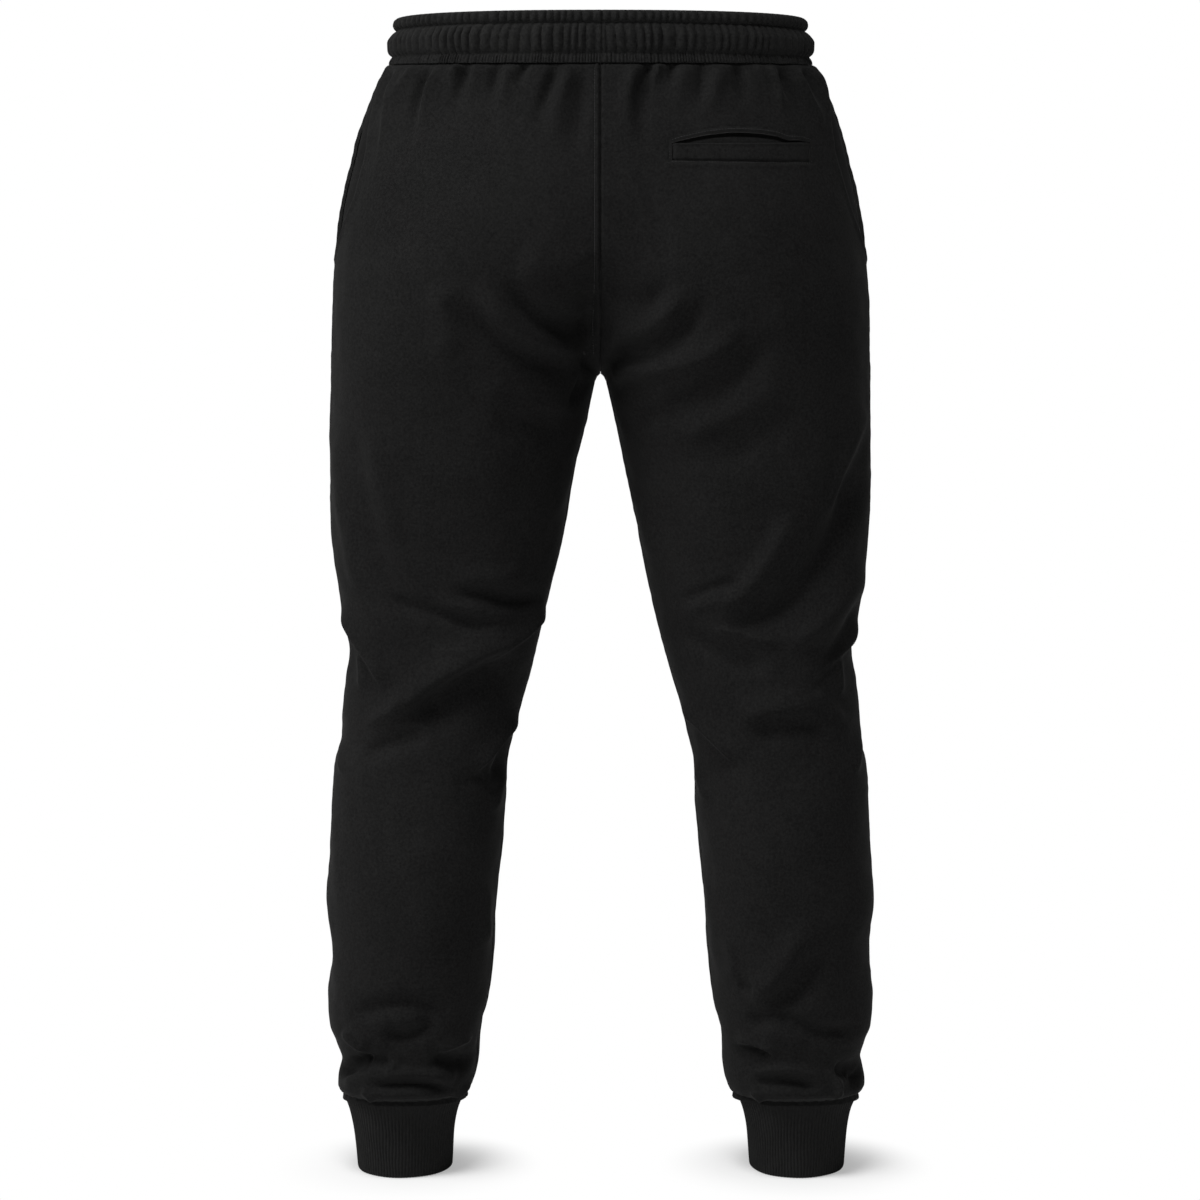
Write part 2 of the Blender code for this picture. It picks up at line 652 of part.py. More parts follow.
def patch(offsets, bottoms, tops, rows, lift_out, lift_in):
    """A wall over part of the right back panel, made from its points, moved out and in."""
    outer_rows, inner_rows = [], []
    for share in np.linspace(0, 1, rows + 1):
        outer, inner = [], []
        for offset, bottom, top in zip(offsets, bottoms, tops):
            height = top + (bottom - top) * share
            length = LegSection(height).length_at_offset(offset, 1)
            outer.append(skin(-1, height, [length], lift_out)[0])
            inner.append(skin(-1, height, [length], lift_in)[0])
        outer_rows.append(np.array(outer))
        inner_rows.append(np.array(inner))
    return Wall().fill(outer_rows, inner_rows)


def make_back_pocket(panel, cloth, facing_cloth):
    """A slot cut in the right back panel, the welt in its lower part and the facing behind it."""
    offsets = np.linspace(WELT_INNER, WELT_OUTER, WELT_COLUMNS + 1)
    shares = (offsets - WELT_INNER) / (WELT_OUTER - WELT_INNER)
    welt_tops = WELT_TOP_INNER + (WELT_TOP_OUTER - WELT_TOP_INNER) * shares
    bottoms = np.full(len(offsets), WELT_BOTTOM)
    slot_tops = welt_tops + SEAM_GAP + MOUTH_GAPE * np.sin(np.pi * shares) ** MOUTH_ROUND
    wider = offsets + SEAM_GAP * (2 * shares - 1)
    slot = make_object("slot_cutter",
                       patch(wider, bottoms - SEAM_GAP, slot_tops, 1, SLOT_REACH, -SLOT_REACH),
                       cloth)
    slot.hide_render = True
    slot.display_type = "WIRE"
    cut = panel.modifiers.new("pocket slot", "BOOLEAN")
    cut.operation = "DIFFERENCE"
    cut.solver = "EXACT"
    cut.object = slot
    make_object("back_pocket_welt",
                patch(offsets, bottoms, welt_tops, 3, WELT_RAISE, WELT_RAISE - WELT_WALL), cloth)
    behind = offsets + POCKET_MARGIN * (2 * shares - 1)
    make_object("back_pocket_facing",
                patch(behind, bottoms - POCKET_MARGIN, slot_tops + POCKET_MARGIN, 3,
                      -POCKET_SINK, -POCKET_SINK - FACING_WALL), facing_cloth)


def main():
    for thing in list(bpy.data.objects):
        bpy.data.objects.remove(thing, do_unlink=True)
    fleece = make_material("black fleece", (0.012, 0.012, 0.013), 0.85)
    rib = make_material("black rib knit", (0.013, 0.013, 0.013), 0.9)
    facing = make_material("black facing", (0.010, 0.010, 0.011), 0.88)
    make_waistband(fleece)
    for side in (1, -1):
        back = make_panel(side, 1, fleece)
        make_panel(side, -1, fleece)
        make_side_facing(side, facing)
        make_cuff(side, rib)
        if side < 0:
            make_back_pocket(back, fleece, facing)


main()
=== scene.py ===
"""Jogger sweatpants, dressed: gathered waistband, fleece panels, pockets, rib cuffs, stitching.

Table values are millimetres and degrees; MM turns them into metres. +Y is the wearer's back,
+X the wearer's left. Offsets are measured outwards from the middle plane, so one set of sections
serves both legs, and `place` puts the right one's points on their own side.
"""

from functools import lru_cache
from typing import NamedTuple

import bmesh
import bpy
import numpy as np
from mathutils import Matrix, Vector


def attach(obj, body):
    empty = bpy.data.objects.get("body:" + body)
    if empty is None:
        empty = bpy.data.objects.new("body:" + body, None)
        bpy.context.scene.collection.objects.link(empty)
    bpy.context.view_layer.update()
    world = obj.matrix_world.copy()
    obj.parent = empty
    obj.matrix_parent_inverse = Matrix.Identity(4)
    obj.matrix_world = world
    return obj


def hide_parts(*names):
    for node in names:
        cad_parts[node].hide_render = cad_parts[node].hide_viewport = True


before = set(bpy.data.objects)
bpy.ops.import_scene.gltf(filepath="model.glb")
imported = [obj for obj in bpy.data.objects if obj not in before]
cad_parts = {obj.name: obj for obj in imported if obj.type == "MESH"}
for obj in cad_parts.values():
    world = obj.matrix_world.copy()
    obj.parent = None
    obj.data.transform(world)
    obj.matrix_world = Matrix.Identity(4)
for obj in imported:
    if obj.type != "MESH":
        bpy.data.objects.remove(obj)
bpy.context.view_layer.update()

MM = 0.001
L, R, BACK, FRONT = 1, -1, 1, -1
WORDS = {L: "left", R: "right"}
SHARP = 60                   # an edge of more degrees than this is shaded as a sharp one
CUT_SHARP = 40               # and on the panel with the pocket's cut

# Cloth
WALL = 2.2
BAND_WALL = 4.4
BAND_RIM_WALL = 3.0
CUFF_WALL = 2.8
CUFF_RIM_WALL = 1.8
FACING_WALL = 1.6
SEAM_GAP = 0.3

# Cross-sections
TORSO_SQUARE = 2.35
SECTION_POINTS = 721

# Seams
BAND_BOTTOM = -36.5
BAND_RISE = -5.5             # how much higher the seam lies at the back and front than at the sides
BAND_BLEND = 110.0           # and how far down the cloth is tilted with it
CUFF_TOP = -957.5
CUFF_RISE = 4.2
CUFF_BLEND = 70.0
CUFF_BOTTOM = -1027.0
CROTCH = -309.5

# The web between the legs' rounds
WEB_NARROW = 6.0
WEB_WIDE = 54.0
WEB_RISE = 45.0
WEB_ARCH = 26.0
WEB_POINTS = 60

# Waistband and cuffs
BAND_GATHERS = 116
UPPER_GATHERS = 134
FINE_GATHERS = 330
BAND_FLATTER = 4.0           # the front half is this much less deep than the back
BAND_POINTS = 1160
CUFF_RIBS = 96
CUFF_POINTS = 768
CUFF_CENTRE = 178.4
CUFF_ROUND = 290.0

# Side pockets
MOUTH_TOP_WIDTH = 38.0
MOUTH_BOTTOM = -212.0
MOUTH_CURVE = 1.15
MOUTH_TUCK = 14.0
MOUTH_CLOSING = 10.0
FACING_STEP = 1.6
FACING_SINK = 3.8
FACING_BELOW = 15.0
FACING_COLUMNS = 30
FACING_COARSER = 1.2
CALM_WIDTH = 9.0

# The cloth turned in behind each seam
MIDDLE_SEAMS = ("back", "front")
TAPE_ACROSS = (-4.5, -2.2, 0.0, 2.2, 4.5)
TAPE_STEP = 4.0
TAPE_SINK = 0.4
TAPE_DIP = 0.12
MIDDLE_TAPE_DIP = 0.22
TAPE_WALL = 0.9
WAIST_TAPE = (-33.5, -36.0, -37.6, -39.2, -41.0, -43.0)
WAIST_SINK = 1.5
MOUTH_SINK = 3.0
WAIST_POINTS = 400
SEAM_FOLDS = 0.45
SEAM_HOLD = 4.0

# Back pocket
WELT_INNER = 61.0
WELT_OUTER = 180.0
WELT_BOTTOM = -124.0
WELT_TOP_INNER = -109.0
WELT_TOP_OUTER = -107.0
MOUTH_GAPE = 9.0
MOUTH_ROUND = 0.95
SLOT_REACH = 5.5             # of the cutter, to both sides of the cloth
WELT_RAISE = 0.8
WELT_WALL = 3.0
POCKET_MARGIN = 4.0
POCKET_SINK = 3.3

# Threads
STITCH_PITCH = 2.6
STITCH_LENGTH = 1.9
STITCH_RADIUS = 0.24
STITCH_DIP = -0.28
STITCH_SIDES = 6
STITCH_RINGS = ((-0.5, 0.15), (-0.42, 0.8), (-0.2, 1.0), (0.2, 1.0), (0.42, 0.8), (0.5, 0.15))
THREAD_LIFT = 0.05
SEAT_SEAM = (-38.5, -296, -4.0)

# Share of the finest marl in the cloth's colour
SPECKLE = 0.75


def table(kind, *rows):
    return tuple(kind(*row) for row in rows)


class Section(NamedTuple):
    height: float
    outer: float
    inner: float
    back: float
    front: float


SECTIONS = table(
    Section,
    (BAND_BOTTOM, 188.4, -188.4, 106, 101),
    (-46, 195.6, -190, 109, 104),
    (-58, 200.8, -186, 112, 106),
    (-74, 206.6, -178, 116, 109),
    (-94, 213.4, -164, 121, 112),
    (-120, 220.6, -140, 126, 115),
    (-150, 228.0, -108, 131, 118),
    (-180, 232.6, -76, 134, 120),
    (-212, 234.0, -45, 135, 121),
    (-226, 235.6, -34, 134.5, 121),
    (-252, 237.4, -18, 132, 119.5),
    (-275, 238.8, -8, 128, 117),
    (-292, 239.2, -2, 124.5, 114.5),
    (-303, 239.3, 1.0, 122, 112.5),
    (-309, 239.3, 2.9, 120.5, 111.5),
    (-310, 239.3, 3.4, 120.2, 111.2),
    (-318, 239.3, 5.6, 118.2, 109.7),
    (-335, 239.3, 9.1, 114.5, 106.5),
    (-365, 240.0, 15.9, 109, 102.5),
    (-400, 240.8, 24.1, 104, 100),
    (-435, 240.3, 30.8, 98.5, 98.5),
    (-470, 237.5, 37.4, 93, 98),
    (-500, 233.6, 44.3, 88, 98),
    (-530, 229.4, 51.6, 84, 97.5),
    (-554, 224.8, 57.2, 81.5, 96.5),
    (-580, 228.8, 63.8, 80, 94.5),
    (-612, 232.1, 73.6, 79, 90),
    (-630, 232.1, 78.0, 79, 87.5),
    (-655, 238.4, 84.0, 80, 84.5),
    (-690, 241.4, 85.2, 82, 81.5),
    (-735, 244.0, 88.8, 84, 78),
    (-780, 246.2, 93.2, 84, 75),
    (-824, 242.3, 96.2, 81, 72.5),
    (-868, 246.3, 101.0, 80, 72),
    (-893, 244.8, 106.8, 77, 70.5),
    (-908, 239.4, 109.4, 73, 67.5),
    (-925, 234.6, 110.5, 70, 64.5),
    (-941, 238.0, 113.0, 73, 67),
    (-949, 238.4, 115.8, 72, 66),
    (-954, 236.8, 118.0, 68, 63),
    (CUFF_TOP, 234.6, 120.6, 60, 58),
)


class SeamTurn(NamedTuple):
    """How far the long seams lie round to the back, away from the legs' outermost lines."""
    height: float
    side: float
    mouth: float        # the line that the side pocket mouth's width is measured from
    inseam: float


SEAM_TURNS = table(
    SeamTurn,
    (-36, 9.5, 10, 0),
    (-58, 14, 10, 0),
    (-94, 22, 10.5, 0),
    (-127, 25.5, 11, 0),
    (-152, 24.5, 10.5, 0),
    (-182, 17.5, 9, 0),
    (MOUTH_BOTTOM, 6.5, 6.5, 0),
    (-310, 3, 3, 0),
    (-600, 0, 0, 5),
    (CUFF_TOP, 0, 0, 7),
)


class BandRow(NamedTuple):
    """The waistband's outside: how far out and how deep it is, and how strongly it is gathered."""
    height: float
    outer: float
    depth: float
    gather: float
    fine: float         # strength of the fine gathers of the cover-stitched edge


BAND_ROWS = table(
    BandRow,
    (2.6, 179.8, 104.6, 0.35, 0),
    (0.6, 181.6, 106.0, 0.75, 0),
    (-2.8, 182.2, 106.5, 0.85, 0),
    (-5.8, 181.2, 105.8, 0.6, 0),
    (-7.4, 179.0, 104.2, 0.25, 0),
    (-9.0, 181.4, 105.4, 0.55, 0),
    (-12.5, 184.6, 107.0, 1.05, 0),
    (-17.5, 187.3, 108.4, 1.3, 0),
    (-24.0, 187.2, 108.0, 1.2, 0),
    (-28.0, 185.8, 106.8, 0.8, 0.1),
    (-29.7, 183.5, 105.3, 0.35, 0.3),
    (-31.2, 184.4, 105.7, 0.3, 0.6),
    (-33.6, 185.8, 106.4, 0.25, 0.75),
    (-36.0, 186.4, 106.8, 0.15, 0.6),
)
BAND_TOP = 3.2
BAND_ROUND = 960.0
BAND_GAIN = 2.7
BAND_GROOVE = -7.4           # the stitched line between the two channels
BAND_EDGE = -29.7            # the upper line of the cover-stitched edge
BAND_HEIGHTS = (2.6, (BAND_GROOVE, 12), (BAND_EDGE, 21), (-36.0, 8))
BAND_INSIDE = (BAND_TOP, 2.4, -0.5, -4.5, BAND_GROOVE, -10, -16, -24, -30, -32, -34.5, BAND_BOTTOM)


class Rim(NamedTuple):
    """A row where the waistband's outside rolls in, and its height on the flat cloth."""
    height: float
    inward: float
    gather: float
    fine: float
    on_cloth: float


BAND_RIMS = table(
    Rim,
    (BAND_TOP, 2.0, 0.3, 0, 4.6),
    (3.0, 0.9, 0.35, 0, 3.7),
    (BAND_BOTTOM, 0.6, 0.05, 0.2, BAND_BOTTOM),
)


class CuffRow(NamedTuple):
    height: float
    half_width: float
    half_depth: float
    rib: float          # half the height of the ribs


CUFF_ROWS = table(
    CuffRow,
    (CUFF_TOP, 55.3, 55.7, 0.15),
    (-962, 53.2, 53.8, 0.22),
    (-966, 51.6, 52.4, 0.34),
    (-972, 49.2, 50.5, 0.42),
    (-980, 47.2, 49.0, 0.45),
    (-992, 45.3, 47.6, 0.45),
    (-1008, 43.9, 46.6, 0.45),
    (-1020, 43.1, 46.0, 0.45),
    (-1025.2, 42.7, 45.7, 0.40),
    (CUFF_BOTTOM, 41.5, 44.5, 0.30),
)
CUFF_HEIGHTS = (CUFF_TOP, (-980, 11), (-1020, 15), (CUFF_BOTTOM, 6))
CUFF_INSIDE = (CUFF_TOP, (-1024.5, 13), (CUFF_BOTTOM, 1))


class Gather(NamedTuple):
    """A fold of the front panels that starts at the waistband."""
    offset: float
    height: float
    length: float


GATHERS = {
    L: table(Gather, (14, 1.8, 50), (33, 2.4, 70), (54, 2.6, 60), (66, 1.0, 30), (78, 2.6, 80),
             (101, 2.0, 60), (121, 2.2, 55), (139, 1.6, 40)),
    R: table(Gather, (18, 2.0, 60), (39, 2.6, 75), (50, 1.0, 30), (62, 2.0, 50), (84, 2.8, 75),
             (107, 2.2, 60), (125, 2.0, 50), (141, 1.6, 40)),
}
GATHERS_END = 260.0          # how far below the waistband they have died out
PUCKERS = 150                # along one leg's half of the waist seam
GATHER_WIDTH = 4.6
GATHER_GROWTH = 0.11
GATHER_GAIN = 2.4


class Spacing(NamedTuple):
    """How far apart the rows of the panels are, down to a height."""
    down_to: float
    step: float


SPACINGS = table(
    Spacing,
    (-66, 1.25),
    (-92, 2.0),
    (-130, 1.5),
    (-490, 2.5),
    (-660, 1.7),
    (-860, 2.6),
    (-962, 1.5),
)
EDGE_STEPS = (0.0, 0.45, 0.9, 1.4, 2.0, 2.7, 3.5, 4.2, 4.8, 5.4, 6.3, 8.0)
PANELS = {BACK: ("back", 1.0, 146), FRONT: ("front", 1.3, 92)}    # word, coarser rows, columns


class Crease(NamedTuple):
    """A ridge (height above 0) or trough (below 0) along a path of (offset, height) points.

    Walking along the path, `left` is its half-width on the left hand and `right` on the right.
    """
    path: tuple
    height: float
    left: float
    right: float
    crisp: float = 0.0


CREASES = {}
CREASES[L, BACK] = table(
    Crease,
    # Gathers under the waistband
    (((111, -38), (116, -47), (119, -57), (122, -69), (123, -85)), -3.5, 5, 6),
    (((104, -38), (109, -49), (111, -65), (112, -84)), 2.2, 4, 8, 0.4),
    (((87, -38), (89, -49), (91, -62), (93, -80)), -2.6, 5, 5),
    (((77, -38), (81, -54), (84, -72), (88, -90)), 1.7, 5, 6),
    (((62, -38), (67, -50), (71, -66)), -2.5, 4, 4),
    (((34, -38), (39, -50), (44, -64), (50, -82), (58, -104)), -3.5, 6, 7),
    (((24, -38), (28, -50), (33, -63), (35, -80), (39, -98), (46, -118)), 2.0, 7, 7),
    (((14, -38), (15, -60), (17, -85), (21, -110), (30, -138)), -2.4, 8, 7),
    (((139, -38), (149, -47), (154, -56), (158, -68), (160, -83), (163, -123)), -4.2, 5, 4, 0.2),
    (((134, -38), (143, -49), (148, -58), (151, -72), (154, -91), (157, -121)), 3.4, 4, 9, 0.6),
    (((158, -38), (166, -49), (173, -59), (180, -70), (185, -81)), 2.2, 3.5, 4, 0.4),
    (((182, -38), (187, -54), (191, -70), (195, -95)), -4.2, 5, 4),
    (((173, -38), (179, -50), (182, -60), (185, -83), (189, -110), (197, -151)), 4.2, 3.6, 8, 0.7),
    (((120, -38), (127, -49), (133, -59)), 1.7, 3.5, 3.5),
    # The cloth drawn in at the fork
    (((5, -205), (5, -238), (5, -270), (5, -303)), -4.8, 22, 22),
    (((7, -232), (7, -260), (7, -285), (7, -307)), -4.4, 9, 9),
    # Seat
    (((140, -226), (132, -262), (122, -294)), 2.2, 12, 12),
    (((105, -229), (91, -252), (65, -271), (37, -281), (13, -288), (-18, -292)), 2.8, 10, 9),
    (((82, -218), (73, -240), (51, -263), (31, -271), (8, -277), (-24, -279)), -4.2, 9, 11),
    (((129, -236), (115, -255), (90, -278), (67, -290), (43, -300), (6, -305)), -3.4, 10, 12),
    (((112, -314), (62, -325), (36, -333), (16, -338)), 2.0, 12, 12),
    (((8, -284), (12, -300), (17, -318), (30, -338)), -2.4, 3.6, 4.4),
    (((100, -349), (60, -351), (28, -351)), -1.8, 14, 14),
    (((70, -202), (34, -220), (4, -230)), 2.0, 24, 24),
    # Thigh
    (((217, -338), (209, -403), (200, -450), (187, -486), (162, -513)), -3.0, 10, 11),
    (((233, -352), (227, -427), (217, -477), (205, -512)), 1.8, 8, 8),
    (((201, -351), (193, -410), (182, -456)), 1.4, 14, 14),
    (((128, -482), (94, -484), (59, -480)), 2.0, 9, 9),
    (((132, -496), (97, -498), (82, -505), (66, -506), (44, -502)), -3.2, 6, 8),
    (((150, -505), (112, -512), (82, -517), (60, -517)), 1.6, 5, 6),
    (((196, -500), (164, -510), (142, -513), (126, -518), (110, -525), (86, -525)), -2.8, 6, 7),
    (((147, -547), (129, -548), (113, -547)), 1.0, 3, 3, 0.5),
    # Knee
    (((60, -524), (82, -538), (103, -551), (124, -562), (142, -576), (156, -587), (174, -600),
      (202, -618)), 5.0, 16, 6),
    (((176, -610), (150, -592), (135, -581), (116, -573), (92, -565), (62, -556)), -5.4, 28, 7),
    (((214, -646), (193, -635), (177, -628), (148, -621)), -2.6, 8, 8),
    (((168, -582), (174, -592), (184, -602), (208, -616)), 2.2, 6, 6, 0.4),
    (((44, -509), (50, -519), (58, -527), (69, -536), (82, -545), (98, -561)), 5.2, 11, 3.6, 0.7),
    (((237, -508), (223, -529), (214, -542), (200, -562), (186, -589)), 4.8, 4.0, 12, 0.7),
    (((213, -550), (211, -567), (210, -587)), 2.2, 4, 5, 0.4),
    (((66, -603), (78, -618), (87, -627), (98, -639), (113, -662)), 5.2, 9, 3.4, 0.7),
    (((76, -625), (84, -642), (96, -668)), -3.2, 5, 9),
    (((130, -668), (116, -664), (98, -660)), -1.4, 8, 8),
    (((80, -651), (87, -667), (91, -678), (97, -699)), 2.8, 4, 7, 0.5),
    (((238, -622), (231, -643), (229, -665)), 2.4, 4, 7, 0.4),
    # Calf
    (((99, -759), (103, -786), (100, -822)), 2.4, 6, 5, 0.4),
    (((162, -700), (150, -760), (142, -827)), 1.8, 24, 24),
    # Ankle
    (((227, -882), (211, -871), (190, -864), (170, -862), (148, -866), (125, -877)), -3.4, 8, 9),
    (((194, -884), (180, -892), (167, -891), (152, -884), (143, -871)), -3.8, 8, 8),
    (((184, -874), (170, -873), (157, -874)), 0.8, 9, 9),
    (((231, -889), (222, -898), (213, -904), (205, -907)), 3.4, 4, 10, 0.6),
    (((237, -936), (220, -922), (210, -919), (201, -917)), -5.0, 6, 6),
    (((216, -918), (203, -915), (193, -915), (184, -919)), -2.6, 4, 6),
    (((202, -924), (191, -923), (184, -920), (184, -913)), 1.6, 3.5, 3.5, 0.4),
    (((233, -940), (221, -933), (209, -928), (195, -924)), 2.4, 6, 4),
    (((113, -898), (126, -900), (136, -903), (147, -907)), 3.4, 7, 4, 0.5),
    (((112, -925), (124, -919), (139, -915), (154, -912)), -4.0, 7, 8),
    (((126, -933), (139, -927), (152, -922)), 1.2, 6, 6),
    (((208, -933), (186, -928), (169, -926), (149, -929), (129, -938)), 2.6, 5, 5),
    (((210, -938), (188, -936), (167, -935), (149, -937), (128, -947)), -4.0, 5, 6),
    (((214, -943), (208, -945), (205, -949), (201, -954)), 2.0, 4, 6, 0.5),
    (((115, -944), (121, -948), (126, -952), (133, -957)), 2.6, 4, 5, 0.5),
)
CREASES[R, BACK] = table(
    Crease,
    # Gathers under the waistband
    (((31, -38), (29, -53), (25, -66), (23, -82), (25, -104)), 2.9, 7, 7),
    (((37, -38), (37, -54), (34, -68), (34, -82), (37, -102), (42, -126)), -3.2, 7, 7),
    (((51, -38), (48, -48), (45, -59), (44, -70)), 2.2, 4, 4),
    (((44, -40), (39, -54), (38, -62)), -2.5, 4, 4),
    (((63, -38), (61, -50), (60, -64)), -2.5, 4, 4),
    (((72, -38), (69, -58), (66, -74), (64, -94)), 1.7, 8, 8),
    (((84, -38), (88, -52), (86, -66), (84, -86)), -2.5, 6, 5),
    (((108, -38), (103, -49), (97, -63), (94, -80), (93, -98)), 2.2, 8, 10),
    (((115, -38), (119, -49), (122, -62), (126, -81)), -3.2, 5, 5),
    (((130, -38), (137, -47), (144, -56), (150, -64)), 1.9, 3.5, 3.5, 0.3),
    (((142, -38), (149, -47), (153, -56), (155, -67), (158, -93)), 2.7, 4, 5, 0.3),
    (((153, -38), (159, -50), (165, -63), (171, -78), (175, -94)), -4.7, 7, 6),
    (((160, -38), (170, -47), (177, -59), (183, -71), (190, -81), (200, -111)), 3.1, 5, 6, 0.5),
    (((174, -38), (183, -52), (188, -64), (193, -81)), -3.2, 5, 5),
    (((181, -38), (190, -49), (194, -59), (197, -73), (201, -109)), 2.5, 4, 4, 0.5),
    # The cloth drawn in at the fork
    (((-5, -205), (-5, -238), (-5, -270), (-5, -303)), -4.8, 22, 22),
    (((-7, -232), (-7, -260), (-7, -285), (-7, -307)), -4.4, 9, 9),
    (((6, -278), (10, -292), (13, -302), (18, -316)), 1.8, 4, 8, 0.4),
    # Seat
    (((-12, -228), (10, -236), (28, -243), (43, -245), (63, -224)), -2.2, 9, 9),
    (((-30, -290), (-8, -284), (8, -278), (22, -272), (40, -268), (57, -258), (74, -226)), 2.8, 10, 8),
    (((-26, -298), (0, -295), (17, -293), (41, -287), (64, -276), (82, -258), (96, -232)), -3.0, 8, 9),
    (((-16, -314), (10, -306), (32, -305), (59, -300), (91, -292), (110, -278), (123, -252)), 3.0, 11, 9),
    (((18, -353), (40, -345), (60, -336), (83, -326), (108, -314), (130, -297), (149, -267)), -3.4, 10, 11),
    (((18, -313), (34, -318), (54, -326)), -1.4, 6, 6),
    (((52, -366), (76, -359), (99, -348), (140, -326), (168, -304)), 1.8, 11, 11),
    (((98, -386), (140, -360), (176, -336)), -1.6, 12, 13),
    (((44, -362), (58, -334)), 1.3, 7, 7),
    # Thigh
    (((231, -325), (229, -348), (221, -368), (213, -391), (207, -412), (199, -440)), 2.4, 6, 8),
    (((209, -340), (204, -375), (199, -407), (191, -430)), -2.2, 8, 8),
    (((35, -413), (43, -443), (49, -473)), 1.6, 6, 9),
    (((172, -420), (161, -438), (148, -463), (133, -484), (120, -503), (92, -520)), 3.6, 15, 8),
    (((232, -340), (227, -385), (220, -416), (210, -445), (196, -470), (176, -500), (155, -516),
      (128, -521), (94, -529)), -5.2, 10, 18),
    (((236, -385), (224, -432), (206, -474), (184, -502)), -3.6, 8, 16),
    (((236, -468), (222, -491), (202, -514), (182, -533), (154, -544)), 3.8, 14, 9),
    (((160, -482), (149, -502), (141, -520)), 1.2, 5, 5),
    (((70, -506), (96, -493), (126, -486)), -1.5, 5, 5),
    (((66, -518), (91, -508), (124, -496)), 1.3, 6, 6),
    # Knee
    (((92, -529), (117, -530), (138, -537), (164, -540)), 2.4, 3, 7, 0.5),
    (((66, -529), (80, -535), (97, -545), (120, -556), (152, -567)), -3.2, 9, 8),
    (((118, -609), (146, -601), (166, -598), (199, -601)), 3.2, 13, 7),
    (((124, -624), (156, -617), (180, -615), (214, -622)), -2.1, 9, 12),
    (((234, -500), (215, -532), (201, -555), (180, -586)), -3.0, 7, 7),
    (((235, -520), (218, -546), (206, -556), (195, -566), (179, -585)), 4.8, 4.0, 12, 0.7),
    (((209, -553), (211, -573), (212, -593)), 2.2, 4, 5, 0.4),
    (((187, -581), (201, -598), (217, -616)), 1.8, 5, 6),
    (((66, -591), (71, -599), (79, -609), (93, -621), (107, -634), (122, -653)), 4.4, 9, 3.4, 0.7),
    (((82, -652), (89, -667), (98, -688)), 2.6, 4, 7, 0.5),
    (((238, -614), (229, -636), (223, -664)), 2.6, 4, 7, 0.4),
    # Calf
    (((112, -798), (118, -824), (121, -847)), 2.6, 4, 7, 0.5),
    (((184, -780), (168, -820), (152, -843), (128, -862)), 2.6, 16, 11),
    (((200, -818), (175, -850), (146, -866)), -2.0, 12, 12),
    (((121, -848), (138, -849)), -2.0, 6, 6),
    # Ankle
    (((180, -791), (159, -825), (144, -848), (127, -862)), 2.2, 10, 16),
    (((199, -812), (177, -841), (160, -860), (147, -874)), -2.0, 14, 12),
    (((128, -878), (144, -876), (157, -874), (174, -877)), -3.0, 7, 7),
    (((156, -875), (177, -881), (194, -889), (210, -890), (232, -886)), -3.6, 8, 8),
    (((174, -856), (194, -868), (213, -875), (233, -881)), 1.5, 8, 8),
    (((137, -888), (152, -885), (169, -892), (186, -898)), 1.4, 9, 9),
    (((118, -902), (131, -898), (141, -901), (149, -904), (158, -911)), 3.4, 7, 4, 0.5),
    (((118, -911), (133, -906), (143, -908), (154, -912)), -3.4, 4, 6),
    (((133, -928), (153, -922), (171, -922), (188, -927), (204, -936)), 2.4, 5, 5),
    (((130, -937), (148, -933), (166, -932), (181, -935), (198, -941)), -3.8, 5, 6),
    (((241, -940), (224, -928), (213, -926), (204, -921)), -5.0, 7, 7),
    (((233, -945), (221, -941), (213, -941)), -2.4, 6, 6),
    (((224, -931), (229, -930), (234, -931)), 1.6, 3.5, 3.5, 0.4),
    (((202, -921), (207, -928), (211, -936), (212, -942), (207, -953)), 3.2, 5, 3.5, 0.5),
    (((133, -944), (138, -945), (142, -950), (146, -954)), 2.2, 5, 4, 0.5),
)
CREASES[L, FRONT] = table(
    Crease,
    # Hip and thigh
    (((26, -296), (70, -290), (124, -262)), 3.4, 14, 14),
    (((44, -342), (92, -328), (146, -296)), -3.4, 13, 15),
    (((20, -318), (52, -316), (86, -306)), -2.3, 8, 9),
    (((206, -360), (196, -420), (176, -474)), -2.8, 14, 14),
    # Knee
    (((66, -552), (104, -566), (156, -602)), -4.8, 13, 15),
    (((88, -520), (130, -530), (176, -524)), 2.5, 12, 12),
    (((94, -702), (130, -696), (186, -668)), -3.9, 12, 13),
    (((92, -640), (120, -652), (158, -650)), 2.3, 10, 10),
    # Ankle
    (((136, -902), (166, -898), (200, -886)), -3.7, 8, 9),
    (((132, -876), (166, -870), (204, -862)), 2.1, 9, 9),
    (((146, -936), (180, -934), (216, -928)), -3.9, 6, 7),
    (((128, -914), (150, -918), (178, -914)), -2.1, 6, 7),
)
CREASES[R, FRONT] = table(
    Crease,
    # Hip and thigh
    (((22, -302), (74, -292), (132, -258)), 3.4, 14, 14),
    (((38, -350), (86, -332), (136, -304)), -3.4, 13, 15),
    (((18, -324), (48, -318), (92, -304)), -2.3, 8, 9),
    (((208, -380), (198, -430), (182, -480)), -2.5, 14, 14),
    # Knee
    (((70, -560), (112, -570), (164, -600)), -4.6, 13, 15),
    (((84, -526), (126, -536), (180, -534)), 2.5, 12, 12),
    (((90, -676), (134, -690), (180, -710)), -3.9, 12, 13),
    (((96, -636), (130, -640), (166, -656)), 2.3, 10, 10),
    # Ankle
    (((142, -886), (172, -892), (206, -898)), -3.7, 8, 9),
    (((134, -862), (170, -866), (208, -874)), 2.1, 9, 9),
    (((134, -930), (170, -938), (208, -938)), -3.9, 6, 7),
    (((150, -914), (180, -912), (206, -916)), -2.1, 6, 7),
)
FORK = (0.0, -308.0)         # offset and height of the fork, where the folds are held flat
FORK_REACH = (12.0, 11.0)
FORK_HOLD = 1.8
CREASE_POINTS = 24
